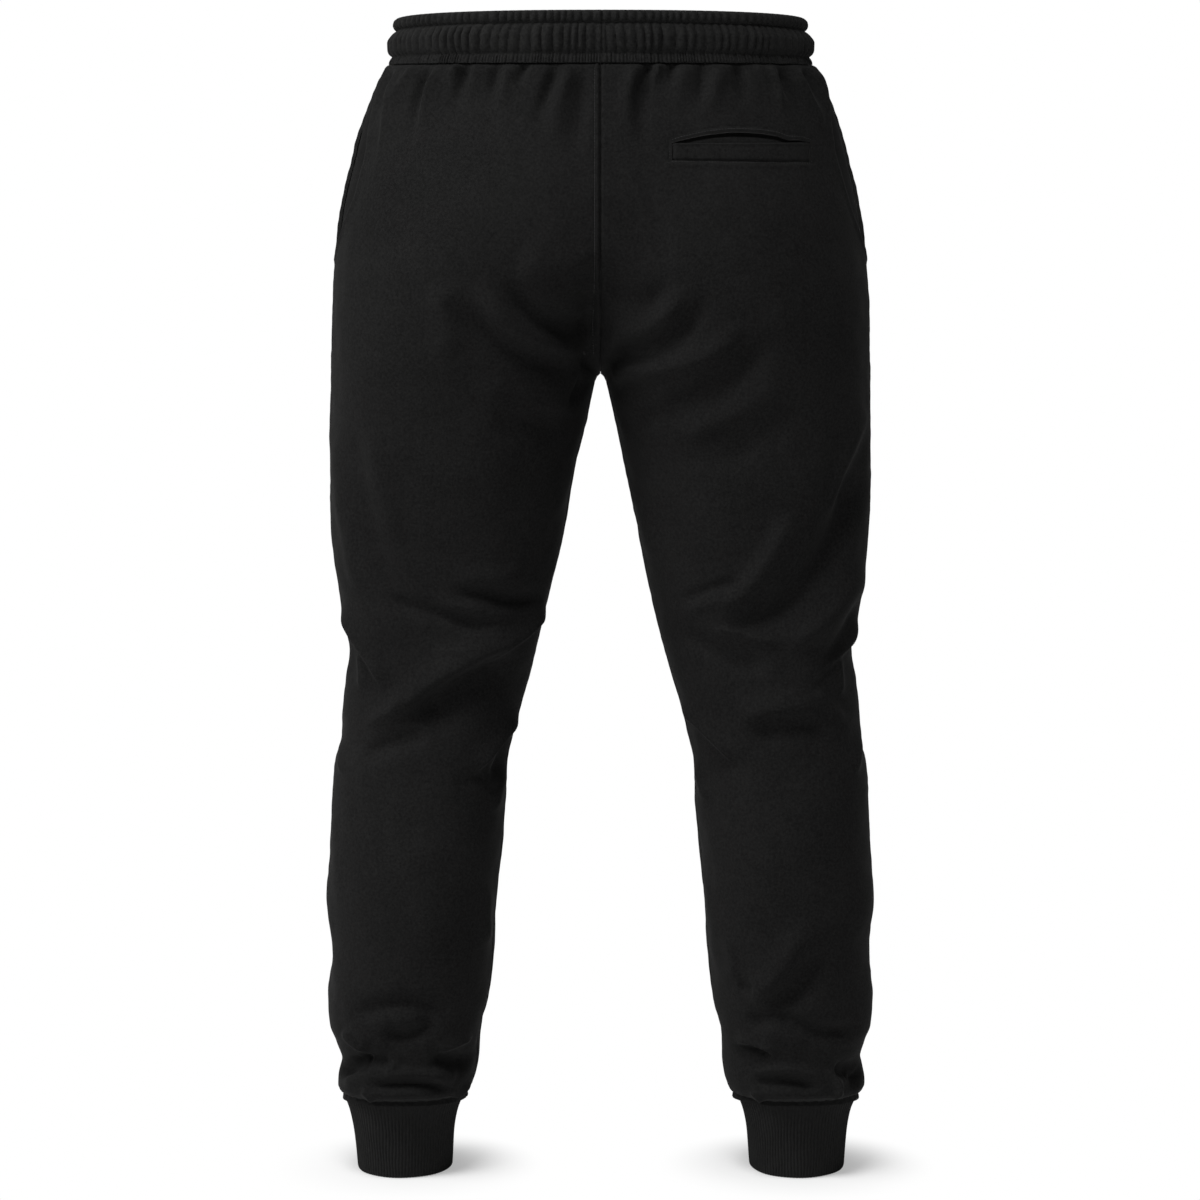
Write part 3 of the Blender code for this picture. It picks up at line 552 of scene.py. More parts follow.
CREASE_GAIN = 2.0
CREASE_REACH = 3.2           # in half-widths: points farther away aren't moved
SEAM_CALM = 13.0             # a fold of one leg fades out over this width at the middle seams
CREASE_FADE = 3.6            # one over the share of its path in which a crease rises or falls off
GATHER_FADE = 1.3            # the same at the lower end of a gather, which starts above GATHER_FROM
GATHER_FROM = -60.0
CRISP_GAIN = 1.3             # the gain of a wholly crisp crease
FACE_FROM = -0.02            # the cloth's turn to one side at which that side's creases begin
FACE_FULL = 0.40             # and where they have their full height


class Ripple(NamedTuple):
    """Soft, even noise all over the cloth."""
    size: float
    seed: int
    lift: float


RIPPLES = table(Ripple, (95, 5, 0.7), (38, 11, 0.35), (15, 17, 0.10))
RIPPLES_BEGIN = 60.0         # how far below the waistband they have their full height


class Bump(NamedTuple):
    """A soft ridge (lift above 0) or groove (below 0): its distance from a line, and its width."""
    at: float
    width: float
    lift: float

    def over(self, distance):
        return self.lift * np.exp(-((distance - self.at) / self.width) ** 2)


# Bumps along the panels' edges
MIDDLE_ROLL = Bump(0, 1.1, -1.5)
SIDE_ROLL = Bump(0, 1.2, -1.0)
MOUTH_PUFF = Bump(4.5, 3.6, 1.1)
MOUTH_ROLL = Bump(0, 0.7, -0.6)
MOUTH_SEWN = Bump(6.0, 0.9, -0.35)
SEAT_SEWN = Bump(4.9, 0.7, -0.2)
CUFF_SEWN = Bump(5.5, 0.9, -0.3)
WAIST_ROLL = -1.4
WAIST_PUFF = 1.0

# Bumps of the back pocket: along its mouth, over the mouth's edge and over the welt's bottom
LIP_RISE = 2.0
LIP_FALL = 11.0
LIP_DENT = Bump(0.84, 0.055, -0.22)
LIP_ROLL = Bump(0.9, 1.1, 0.6)
LIP_SEWN = Bump(2.9, 0.8, -0.55)
UNDER_SEWN = Bump(-1.6, 1.1, -0.4)
UNDER_PUFF = Bump(-4.6, 1.6, 0.8)
END_SEWN = Bump(0, 0.9, 1)
FRAME = 2.2                  # from the welt's ends to the sewn lines beside them
PULL_AT = (120.0, -117.0)
PULL_REACH = (74.0, 16.0)

# Bumps of the welt, by share of its height and length, and of the waistband's centre-back join
WELT_FOLD = Bump(0.09, 0.07, 0.8)
WELT_TOP_ROLL = Bump(0, 0.03, -0.8)
WELT_BOTTOM_ROLL = Bump(0, 0.05, -0.9)
WELT_END_ROLL = Bump(0, 0.012, -1.6)
JOIN_PUFF = Bump(2.2, 1.0, 0.35)
JOIN_GROOVE = Bump(0, 0.8, -0.9)
JOIN_SHARE = 0.25            # where the join is, as a share of the way round


def smooth(rows, column, at):
    """Read one column of a table at any heights, on a curve that never overshoots its rows."""
    heights = np.array([row.height for row in rows], float)[::-1]
    values = np.array([getattr(row, column) for row in rows], float)[::-1]
    steps = np.diff(heights)
    rises = np.diff(values) / steps
    slopes = np.concatenate(([rises[0]], np.zeros(len(values) - 2), [rises[-1]]))
    before, after = rises[:-1], rises[1:]
    same_way = before * after > 0
    slopes[1:-1][same_way] = (2 * before * after)[same_way] / (before + after)[same_way]
    at = np.clip(np.asarray(at, float), heights[0], heights[-1])
    i = np.clip(np.searchsorted(heights, at) - 1, 0, len(steps) - 1)
    t = (at - heights[i]) / steps[i]
    return (values[i] * (1 + 2 * t) * (1 - t) ** 2
            + values[i + 1] * t ** 2 * (3 - 2 * t)
            + steps[i] * t * (1 - t) * (slopes[i] * (1 - t) - slopes[i + 1] * t))


def read(rows, height, *columns):
    return [float(smooth(rows, column, height)) for column in columns]


def ease(x):
    x = np.clip(x, 0, 1)
    return x * x * (3 - 2 * x)


def ripple(points, size, seed, waves=9):
    """Noise between about -1 and 1: waves of this size in all directions."""
    chance = np.random.RandomState(seed)
    total = np.zeros(points.shape[:-1])
    for _ in range(waves):
        way = chance.normal(size=3)
        way /= np.linalg.norm(way)
        length = size * chance.uniform(0.6, 1.6)
        total += np.sin(points @ (way * 2 * np.pi / length) + chance.uniform(0, 2 * np.pi))
    return total / np.sqrt(waves)


def superellipse(angles, half_width, back, front):
    power = 2 / TORSO_SQUARE
    across = half_width * np.sign(np.cos(angles)) * np.abs(np.cos(angles)) ** power
    depth = np.where(np.sin(angles) > 0, back, front)
    along = depth * np.sign(np.sin(angles)) * np.abs(np.sin(angles)) ** power
    return np.stack((across, along), axis=-1)


def lengths_along(line):
    """How far along a line each of its points is."""
    steps = np.linalg.norm(np.diff(line, axis=0), axis=1)
    return np.concatenate(([0], np.cumsum(steps)))


def follow(at, lengths, line):
    """Points of a line at some lengths along it."""
    return np.stack([np.interp(at, lengths, column) for column in line.T], axis=-1)


def spaced(start, *stretches):
    """Values from a start on: each stretch is where it stops, and its count of even steps."""
    values = np.array([start], float)
    for stop, steps in stretches:
        values = np.concatenate((values, np.linspace(values[-1], stop, steps + 1)[1:]))
    return values


class LegSection:
    """One section from its back end at the seat seam or inseam, round the side, to its front end."""

    def __init__(self, height):
        outer, inner, self.back, self.front = read(SECTIONS, height, "outer", "inner", "back", "front")
        side, mouth, inseam = np.radians(read(SEAM_TURNS, height, "side", "mouth", "inseam"))
        self.angles = np.linspace(np.pi - inseam, -np.pi - inseam, SECTION_POINTS)
        self.points = superellipse(self.angles, (outer - inner) / 2, self.back, self.front)
        self.points[:, 0] += (outer + inner) / 2
        if height > CROTCH:
            self.add_web(height - CROTCH)
        self.lengths = lengths_along(self.points)
        self.total = self.lengths[-1]
        self.side_seam, self.mouth_line = np.interp((-side, -mouth), -self.angles, self.lengths)

    def add_web(self, rise):
        width = WEB_NARROW + WEB_WIDE * (1 - np.exp(-rise / WEB_RISE))
        arch = np.sqrt(1 - (1 - min(rise / WEB_ARCH, 1)) ** 2)
        kept = self.points[:, 0] > width
        points, angles = self.points[kept], self.angles[kept]
        web = np.linspace(SEAM_GAP / 2, width, WEB_POINTS, endpoint=False)
        t = web / width
        ends = []
        for first, second in ((0, 1), (-1, -2)):
            run = points[second] - points[first]
            slope = run[1] / run[0]
            edge = points[first, 1] - slope * (points[first, 0] - width)
            middle = (edge - slope * width / 2) * arch
            depth = (middle * (1 + 2 * t) * (1 - t) ** 2 + edge * t ** 2 * (3 - 2 * t)
                     - slope * width * t ** 2 * (1 - t))
            ends.append(np.column_stack((web, depth)))
        self.points = np.concatenate((ends[0], points, ends[1][::-1]))
        back = np.linspace(np.pi, angles[0], WEB_POINTS, endpoint=False)
        front = np.linspace(angles[-1], -np.pi, WEB_POINTS + 1)[1:]
        self.angles = np.concatenate((back, angles, front))

    def length_at_offset(self, offset, face):
        on_face = self.angles * face >= 0
        order = np.argsort(self.points[on_face, 0])
        return np.interp(offset, self.points[on_face, 0][order], self.lengths[on_face][order])


@lru_cache(maxsize=None)
def section_at(height):
    return LegSection(height)


def seam_shift(height, depth_share):
    near_band = 1 - ease((BAND_BOTTOM - height) / BAND_BLEND)
    near_cuff = 1 - ease((height - CUFF_TOP) / CUFF_BLEND)
    return depth_share * (BAND_RISE * near_band + CUFF_RISE * near_cuff)


def base_points(height, lengths):
    section = section_at(height)
    flat = follow(lengths, section.lengths, section.points)
    depth = np.where(flat[:, 1] > 0, section.back, section.front)
    shift = seam_shift(height, np.abs(flat[:, 1]) / depth)
    return np.column_stack((flat, height + shift))


def base_normals(height, lengths):
    section, above, below = (section_at(h) for h in (height, height + 1, height - 1))
    step = 0.5
    inside = np.clip(lengths, step, section.total - step)
    around = base_points(height, inside + step) - base_points(height, inside - step)
    up = (base_points(height + 1, lengths / section.total * above.total)
          - base_points(height - 1, lengths / section.total * below.total))
    normals = np.cross(up, around)
    return normals / np.linalg.norm(normals, axis=1, keepdims=True)


def base_grid(heights, lengths):
    """Points and normals of one leg's plain form: one row of lengths for each height."""
    rows = list(zip(heights, lengths))
    return np.array([base_points(*row) for row in rows]), np.array([base_normals(*row) for row in rows])


def crease_lift(crease, corners, here, facing):
    """How far one crease lifts the points near it."""
    marks = lengths_along(corners)
    line = follow(np.linspace(0, marks[-1], CREASE_POINTS), marks, corners)
    for _ in range(3):
        line[1:-1] = (line[:-2] + 2 * line[1:-1] + line[2:]) / 4
    starts, steps = line[:-1], np.diff(line, axis=0)
    offset = here[:, None] - starts[None]
    along = np.clip((offset * steps).sum(axis=2) / (steps ** 2).sum(axis=1), 0, 1)
    distances = np.linalg.norm(offset - along[..., None] * steps, axis=2)
    nearest = distances.argmin(axis=1)
    pick = np.arange(len(here)), nearest
    way = steps[nearest]
    hand = way[:, 0] * offset[pick][:, 1] - way[:, 1] * offset[pick][:, 0]
    left = ease(hand / (np.linalg.norm(way, axis=1) * 4) + 0.5)
    t = distances[pick] / (crease.right + (crease.left - crease.right) * left)
    round_top = np.exp(-t ** 2)
    crisp_top = np.exp(-1.5 * (np.sqrt(t ** 2 + 0.02) - np.sqrt(0.02)))
    profile = round_top + (crisp_top - round_top) * crease.crisp
    share = (nearest + along[pick]) / len(steps)
    fade_out = GATHER_FADE if corners[0, 1] > GATHER_FROM else CREASE_FADE
    taper = ease(share * CREASE_FADE) * ease((1 - share) * fade_out)
    if np.abs(corners[:, 0]).max() > SEAM_CALM:
        taper *= ease(here[:, 0] / SEAM_CALM)
    gain = CREASE_GAIN + (CRISP_GAIN - CREASE_GAIN) * crease.crisp
    return gain * crease.height * taper * facing * profile


def crease_relief(side, points, normals):
    """How far the creases lift each point of one leg."""
    relief = np.zeros(points.shape[:-1])
    flat = points[..., (0, 2)]
    for face in (BACK, FRONT):
        facing = ease((normals[..., 1] * face - FACE_FROM) / (FACE_FULL - FACE_FROM))
        for crease in CREASES[side, face]:
            corners = np.array(crease.path, float)
            reach = CREASE_REACH * max(crease.left, crease.right)
            low, high = corners.min(axis=0) - reach, corners.max(axis=0) + reach
            near = np.all((flat > low) & (flat < high), axis=-1) & (facing > 0)
            if near.any():
                relief[near] += crease_lift(crease, corners, flat[near], facing[near])
    return relief


def mouth_edge(section, height):
    if height <= MOUTH_BOTTOM:
        return section.side_seam
    share = (height - MOUTH_BOTTOM) / (BAND_BOTTOM - MOUTH_BOTTOM)
    return section.mouth_line + MOUTH_TOP_WIDTH * share ** MOUTH_CURVE


def gather_relief(side, height, lengths):
    """How far the gathers below the waistband lift the points of one row."""
    top, section = section_at(BAND_BOTTOM), section_at(height)
    fall = BAND_BOTTOM - height
    relief = np.zeros(len(lengths))
    if fall > GATHERS_END:
        return relief
    for gather in GATHERS[side]:
        middle = top.length_at_offset(gather.offset, FRONT) / top.total * section.total
        spread = (GATHER_WIDTH + GATHER_GROWTH * fall) * (1 - 0.12 * np.sin(gather.offset))
        fade = np.exp(-(fall / gather.length) ** 1.5)
        mean = 0.9 * spread * 2 / section.total
        ridge = np.exp(-np.abs((lengths - middle) / spread) ** 1.35)
        relief += GATHER_GAIN * gather.height * fade * (ridge - mean)
    pucker = np.cos(2 * np.pi * PUCKERS * lengths / section.total + 1.2 * np.sin(lengths / 17))
    relief += 0.4 * pucker * np.exp(-fall / 5)
    past_seam = ease((lengths - section.side_seam) / CALM_WIDTH + 1)
    before_tuck = ease((mouth_edge(section, height) + MOUTH_TUCK - lengths) / CALM_WIDTH + 1)
    return relief * (1 - past_seam * before_tuck)


def held_in(heights):
    """Share of the folds each row keeps: the waist seam holds the cloth just below it flat."""
    fall = BAND_BOTTOM - np.array(heights)[:, None]
    return SEAM_FOLDS + (1 - SEAM_FOLDS) * ease(fall / SEAM_HOLD)


def pocket_share(offset):
    """How far along the back pocket an offset is, 0 to 1."""
    return np.clip((offset - WELT_INNER) / (WELT_OUTER - WELT_INNER), 0, 1)


def pocket_top(offset):
    """Height of the back pocket mouth's upper edge."""
    share = pocket_share(offset)
    edge = WELT_TOP_INNER + (WELT_TOP_OUTER - WELT_TOP_INNER) * share
    bow = np.sin(np.pi * share ** 0.92) ** MOUTH_ROUND + LIP_DENT.over(share)
    return edge + SEAM_GAP + MOUTH_GAPE * np.maximum(bow, 0)


def beside_pocket(offset, margin, soft):
    """1 within a margin of the welt's ends, falling to 0 outside."""
    return ease((offset - WELT_INNER + margin) / soft) * ease((WELT_OUTER + margin - offset) / soft)


def pocket_relief(points, normals):
    """The back pocket's lifted lip above its mouth, and the dents of its sewn frame."""
    offset, height = points[..., 0], points[..., 2]
    top = pocket_top(offset)
    bow = np.sin(np.pi * pocket_share(offset))
    above, over_bottom = height - top, height - WELT_BOTTOM
    lip = LIP_RISE * bow * (np.exp(-np.maximum(above, 0) / LIP_FALL) * (above > -4))
    edge = lip + LIP_ROLL.over(above) * bow ** 0.3 + LIP_SEWN.over(above)
    between = beside_pocket(offset, 4, 3)
    under = UNDER_SEWN.over(over_bottom) * between
    under += UNDER_PUFF.over(over_bottom) * beside_pocket(offset, 7, 4)
    ends = END_SEWN.over(offset - WELT_INNER + FRAME) + END_SEWN.over(offset - WELT_OUTER - FRAME)
    tall = ease((over_bottom + 4) / 3) * ease((top + 5 - height) / 3)
    away = (offset - PULL_AT[0]) / PULL_REACH[0], (height - PULL_AT[1]) / PULL_REACH[1]
    pull = -np.exp(-away[0] ** 4 - away[1] ** 2)
    return ease(normals[..., 1] / 0.3) * (edge * between - 0.6 * ends * tall + under + pull)


def skin(side, heights, lengths, edges=0.0):
    """Points and normals of a grid on one leg, and how far the cloth lies out from them."""
    points, normals = base_grid(heights, lengths)
    relief = crease_relief(side, points, normals)
    relief += np.array([gather_relief(side, h, row) for h, row in zip(heights, lengths)])
    relief *= held_in(heights)
    calm = ease((BAND_BOTTOM - np.array(heights)) / RIPPLES_BEGIN)[:, None]
    placed = points * (side, 1, 1)
    relief += calm * sum(r.lift * ripple(placed, r.size, r.seed) for r in RIPPLES)
    if side == R:
        relief += pocket_relief(points, normals)
    relief += edges
    across, down = (points[..., 0] - FORK[0]) / FORK_REACH[0], (points[..., 2] - FORK[1]) / FORK_REACH[1]
    near_fork = np.minimum(1, FORK_HOLD * np.exp(-across ** 2 - down ** 2))
    relief *= 1 - near_fork * (1 - ease((np.abs(normals[..., 1]) - 0.5) / 0.5))
    return points, normals, relief


def move(side, points, normals, relief):
    """Lift the points off one leg, and put them on their own side of the middle plane."""
    return (points + normals * np.asarray(relief)[..., None]) * (side, 1, 1)


def place(side, points, normals, relief):
    """The same for cloth that doesn't cross the middle plane."""
    moved = move(L, points, normals, relief)
    moved[..., 0] = np.maximum(moved[..., 0], SEAM_GAP / 2)
    return moved * (side, 1, 1)


def on_cloth(lengths, heights):
    """Where a grid's points lie on their flat cloth."""
    return np.stack(np.broadcast_arrays(lengths, np.array(heights)[:, None]), axis=-1)


# Meshes

def add_thing(name, data):
    thing = bpy.data.objects.new(name, data)
    bpy.context.scene.collection.objects.link(thing)
    return thing


def grid_faces(rows, columns, start, closed, flip):
    """Four-cornered faces over a grid of points that are numbered row by row."""
    wrap = 0 if closed else 1
    r, c = np.meshgrid(np.arange(rows - 1), np.arange(columns - wrap), indexing="ij")
    right = (c + 1) % columns
    corners = np.stack((r * columns + c, r * columns + right,
                        (r + 1) * columns + right, (r + 1) * columns + c), axis=-1)
    corners = corners.reshape(-1, 4) + start
    return (corners[:, ::-1] if flip else corners).tolist()


def zipper(a, b):
    """Triangles between two chains of point numbers that run side by side."""
    i = j = 0
    faces = []
    while i < len(a) - 1 or j < len(b) - 1:
        if j == len(b) - 1 or (i < len(a) - 1 and (i + 1) / (len(a) - 1) <= (j + 1) / (len(b) - 1)):
            faces.append((a[i], b[j], a[i + 1]))
            i += 1
        else:
            faces.append((a[i], b[j], b[j + 1]))
            j += 1
    return faces


def make_shell(name, outer, inner, outer_uv, inner_uv, materials, closed=False):
    """A closed wall of cloth from a fine outer grid and a coarser inner grid."""
    (rows, columns), (in_rows, in_columns) = outer.shape[:2], inner.shape[:2]
    start = rows * columns
    faces = grid_faces(rows, columns, 0, closed, False)
    outer_count = len(faces)
    faces += grid_faces(in_rows, in_columns, start, closed, True)
    numbers = np.arange(start).reshape(rows, columns)
    in_numbers = np.arange(in_rows * in_columns).reshape(in_rows, in_columns) + start
    rims = [(numbers[row], in_numbers[row]) for row in (0, -1)]
    if closed:
        rims = [(np.append(a, a[0]), np.append(b, b[0])) for a, b in rims]
    else:
        rims += [(numbers[:, column], in_numbers[:, column]) for column in (0, -1)]
    for a, b in rims:
        faces += zipper(a.tolist(), b.tolist())
    mesh = bpy.data.meshes.new(name)
    coords = np.concatenate((outer.reshape(-1, 3), inner.reshape(-1, 3))) * MM
    mesh.from_pydata(coords.tolist(), [], faces)
    for material in materials:
        mesh.materials.append(material)
    if len(materials) > 1:
        slots = np.zeros(len(faces), np.int32)
        slots[outer_count:] = 1
        mesh.polygons.foreach_set("material_index", slots)
    add_uv(mesh, np.concatenate((outer_uv.reshape(-1, 2), inner_uv.reshape(-1, 2))))
    turn_outwards(mesh)
    mesh.shade_smooth()
    mesh.set_sharp_from_angle(angle=np.radians(SHARP))
    return add_thing(name, mesh)


def add_uv(mesh, uv):
    """Store where each point lies on its flat cloth, in metres."""
    layer = mesh.uv_layers.new(name="cloth")
    corners = np.zeros(len(mesh.loops), np.int32)
    mesh.loops.foreach_get("vertex_index", corners)
    layer.data.foreach_set("uv", (uv[corners] * MM).astype(np.float32).ravel())


def turn_outwards(mesh):
    body = bmesh.new()
    body.from_mesh(mesh)
    bmesh.ops.recalc_face_normals(body, faces=body.faces)
    if body.calc_volume(signed=True) < 0:
        bmesh.ops.reverse_faces(body, faces=body.faces)
    body.to_mesh(mesh)
    body.free()


def every(skip, rows, columns):
    """Every row and column of a grid that `skip` leaves, and the last ones."""
    return np.ix_(*(sorted({*range(0, count, skip), count - 1}) for count in (rows, columns)))


def make_wall(name, side, points, normals, out, inward, uv, skip, materials):
    """A wall between two reliefs over the same points, of which the inner face takes fewer."""
    pick = every(skip, *out.shape)
    outer = place(side, points, normals, out)
    inner = place(side, points[pick], normals[pick], inward[pick])
    return make_shell(name, outer, inner, uv, uv[pick], materials)


# Panels

def panel_heights(coarser):
    above, stretches = BAND_BOTTOM, []
    for spacing in SPACINGS:
        count = round((above - spacing.down_to) / (spacing.step * coarser))
        above = spacing.down_to
        stretches.append((above, max(count, 1)))
    return spaced(BAND_BOTTOM, *stretches)


def panel_range(section, height, face):
    end_gap = SEAM_GAP / 2 if height <= CROTCH else 0
    if face == BACK:
        return end_gap, section.side_seam - SEAM_GAP / 2
    return mouth_edge(section, height) + SEAM_GAP / 2, section.total - end_gap


def make_panel(side, face, materials):
    word, coarser, columns = PANELS[face]
    heights = panel_heights(coarser)
    edge = np.array(EDGE_STEPS)
    lengths, ins, outs = [], [], []
    for height in heights:
        first, last = panel_range(section_at(height), height, face)
        middle = np.linspace(first + edge[-1], last - edge[-1], columns)[1:-1]
        line = np.concatenate((first + edge, middle, last - edge[::-1]))
        lengths.append(line)
        ins.append(line - first)
        outs.append(last - line)
    lengths, ins, outs = np.array(lengths), np.array(ins), np.array(outs)
    edges = seam_edges(side, face, heights[:, None], lengths, ins, outs)
    points, normals, relief = skin(side, heights, lengths, edges)
    seam = np.array([section_at(h).side_seam for h in heights])[:, None]
    return make_wall(f"{word}_{WORDS[side]}_fleece", side, points, normals, relief, relief - WALL,
                     on_cloth(lengths - seam, heights), 3, materials)


def seam_edges(side, face, z, lengths, ins, outs):
    """The panels' edges: they turn in at the seams, and carry sewn lines beside them."""
    fall, rise = BAND_BOTTOM - z, z - CUFF_TOP
    at_side, at_middle = (outs, ins) if face == BACK else (ins, outs)
    relief = MIDDLE_ROLL.over(at_middle)
    mouth = ease((z - MOUTH_BOTTOM) / 6)
    if face == BACK:
        relief += SIDE_ROLL.over(at_side)
        relief += mouth * MOUTH_PUFF.over(at_side)
    else:
        relief += SIDE_ROLL.over(at_side) * (1 - mouth)
        relief += mouth * (MOUTH_ROLL.over(at_side) + MOUTH_SEWN.over(at_side))
    ripples = np.sin(2 * np.pi * z / 11 + 2 * np.sin(z / 37))
    relief += 0.22 * ripples * np.exp(-at_side / 5) + 0.18 * ripples * np.exp(-at_middle / 5)
    if side == L:
        strip = ease((at_middle - 0.6) / 1.0) * ease((4.4 - at_middle) / 0.9)
        relief += ease((z - CROTCH - 10) / 12) * (0.45 * strip + SEAT_SEWN.over(at_middle))
    relief += WAIST_ROLL * np.exp(-fall / 1.3) + WAIST_PUFF * ease(fall / 4) * np.exp(-fall / 30)
    relief += (-1.3 + 0.35 * np.sin(lengths / 1.7)) * np.exp(-(rise / 2.6) ** 2)
    relief += CUFF_SEWN.over(rise)
    return relief


def make_side_facing(side, materials):
    heights = panel_heights(FACING_COARSER)
    heights = heights[heights >= MOUTH_BOTTOM - FACING_BELOW]
    lengths, sinks = [], []
    for height in heights:
        section = section_at(height)
        first, edge = section.side_seam + SEAM_GAP / 2, mouth_edge(section, height)
        mouth = max(edge - first, 0.1)
        line = np.linspace(first, edge + MOUTH_TUCK, FACING_COLUMNS)
        closing = 1 - ease(mouth / MOUTH_CLOSING)
        under = np.maximum(ease((line - first) / mouth), closing)
        lengths.append(line)
        sinks.append(FACING_STEP + (FACING_SINK - FACING_STEP) * under)
    lengths, sinks = np.array(lengths), np.array(sinks)
    points, normals, relief = skin(side, heights, lengths)
    return make_wall(f"side_facing_{WORDS[side]}", side, points, normals, relief - sinks,
                     relief - sinks - FACING_WALL, on_cloth(lengths, heights), 2, materials)


# Waistband and cuffs

def profile_ring(shares, outer, depth):
    """Even points round the waist, and their outward directions."""
    turn = np.linspace(np.pi, -np.pi, SECTION_POINTS)
    line = superellipse(turn, outer, depth, depth - BAND_FLATTER)
    lengths = lengths_along(line)
    flat = follow(np.mod(shares, 1) * lengths[-1], lengths, line)
    outward = flat / np.array((outer, depth)) ** 2
    return flat, outward / np.linalg.norm(outward, axis=1, keepdims=True)


def pleats(turns, power):
    """Gathers or ribs, from 0 in the valleys to 1 on the ridges, by how many half turns they took."""
    return np.abs(np.cos(np.pi * turns)) ** power


def crimp(shares, drop):
    """The waistband's gathers below and above its sewn line, and the fine ones at its lower edge."""
    turn = 2 * np.pi * shares
    stray = 0.3 * np.sin(7 * turn + 1) + 0.14 * np.sin(17 * turn + 2.2) + 0.1 * np.sin(29 * turn)
    lean = drop * (0.25 * np.sin(5 * turn + 0.6) + 0.2 * np.sin(13 * turn + 1.9))
    lower = pleats(BAND_GATHERS * shares + stray + lean, 0.75)
    lower *= 0.78 + 0.22 * np.sin(11 * turn + 0.4) + 0.12 * np.sin(31 * turn)
    upper_stray = 0.3 * np.sin(9 * turn + 2) + 0.15 * np.sin(21 * turn)
    upper = pleats(UPPER_GATHERS * shares + upper_stray, 0.8)
    fine = pleats(FINE_GATHERS * shares + 0.5 * np.sin(23 * turn), 0.7)
    return lower, upper, fine


def band_ring(shares, height, inward, gather, fine_gather, joined=1):
    """One row of the waistband's points."""
    outer, depth = read(BAND_ROWS, height, "outer", "depth")
    flat, outward = profile_ring(shares, outer, depth)
    drop = (height - BAND_GROOVE) / (BAND_BOTTOM - BAND_GROOVE)
    lower, upper, fine = crimp(shares, drop)
    wave = lower + (upper - lower) * ease((height - BAND_GROOVE + 1) / 2)
    lift = BAND_GAIN * (gather * (wave - 0.62) + 0.8 * fine_gather * (fine - 0.6)) - inward
    from_join = np.abs(shares - JOIN_SHARE) * BAND_ROUND
    lift += joined * (JOIN_PUFF.over(from_join) + JOIN_GROOVE.over(from_join))
    flat = flat + outward * lift[:, None]
    shift = BAND_RISE * (height / BAND_BOTTOM) ** 2 * np.abs(flat[:, 1]) / depth
    return np.column_stack((flat, height + shift))


def make_waistband(materials):
    shares = np.arange(BAND_POINTS) / BAND_POINTS
    heights = spaced(*BAND_HEIGHTS)
    folds = [read(BAND_ROWS, height, "gather", "fine") for height in heights]
    outer = [band_ring(shares, rim.height, rim.inward, rim.gather, rim.fine) for rim in BAND_RIMS]
    outer[-1:-1] = [band_ring(shares, height, 0, *fold) for height, fold in zip(heights, folds)]
    outer_z = [*(rim.on_cloth for rim in BAND_RIMS[:-1]), *heights, BAND_RIMS[-1].on_cloth]
    in_shares, inner = shares[::3], []
    for height in BAND_INSIDE:
        gather, = read(BAND_ROWS, height, "gather")
        deep = BAND_RIM_WALL if height == BAND_TOP else BAND_WALL
        inner.append(band_ring(in_shares, height, deep, -0.6 * gather, 0, joined=0))
    for rows in (outer, inner):
        rows[-1][:, 2] += SEAM_GAP
    return make_shell("waistband_fleece", np.array(outer), np.array(inner),
                      on_cloth(shares * BAND_ROUND, outer_z),
                      on_cloth(in_shares * BAND_ROUND, BAND_INSIDE), materials, closed=True)


def cuff_ring(side, height, turns, inward, rib_share):
    """One row of a cuff's points."""
    width, depth, rib = read(CUFF_ROWS, height, "half_width", "half_depth", "rib")
    angles = 2 * np.pi * turns
    sway = 0.10 * np.sin(height / 9 + 5 * angles) + 0.08 * np.sin(height / 5 + 11 * angles)
    ribs = pleats(CUFF_RIBS * turns + sway, 0.8)
    slack = 0.5 * np.sin(3 * angles + height / 30 + side) + 0.25 * np.sin(7 * angles - height / 14)
    lift = 2 * rib * (ribs - 0.6) * rib_share - inward + slack * ease((CUFF_TOP - height) / 20)
    x = np.cos(angles) * (width + lift) + CUFF_CENTRE
    y = np.sin(angles) * (depth + lift)
    near_top = 1 - ease((CUFF_TOP - height) / 22)
    z = height + (CUFF_RISE * np.abs(np.sin(angles)) - SEAM_GAP) * near_top
    return np.column_stack((x * side, y, z))


def make_cuff(side, materials):
    turns = np.arange(CUFF_POINTS) / CUFF_POINTS
    heights, in_turns, in_heights = spaced(*CUFF_HEIGHTS), turns[::4], spaced(*CUFF_INSIDE)
    walls = np.where(in_heights > CUFF_BOTTOM, CUFF_WALL, CUFF_RIM_WALL)
    outer = [cuff_ring(side, h, turns, 0, 1) for h in heights]
    inner = [cuff_ring(side, h, in_turns, wall, -0.6) for h, wall in zip(in_heights, walls)]
    return make_shell(f"cuff_{WORDS[side]}_rib", np.array(outer), np.array(inner),
                      on_cloth(turns * CUFF_ROUND, heights),
                      on_cloth(in_turns * CUFF_ROUND, in_heights), materials, closed=True)


# Back pocket

def patch_skin(heights, lengths):
    """Points and normals over a part of the right back panel, without the pocket's own relief."""
    spots = [(float(h), np.array([l])) for h, l in zip(heights.ravel(), lengths.ravel())]
    points = np.array([base_points(*spot)[0] for spot in spots]).reshape(*heights.shape, 3)
    normals = np.array([base_normals(*spot)[0] for spot in spots]).reshape(*heights.shape, 3)
    gathers = np.array([gather_relief(R, *spot)[0] for spot in spots]).reshape(heights.shape)
    relief = crease_relief(R, points, normals) + gathers
    for r in RIPPLES[:2]:
        relief = relief + r.lift * ripple(points * (R, 1, 1), r.size, r.seed)
    return points, normals, relief


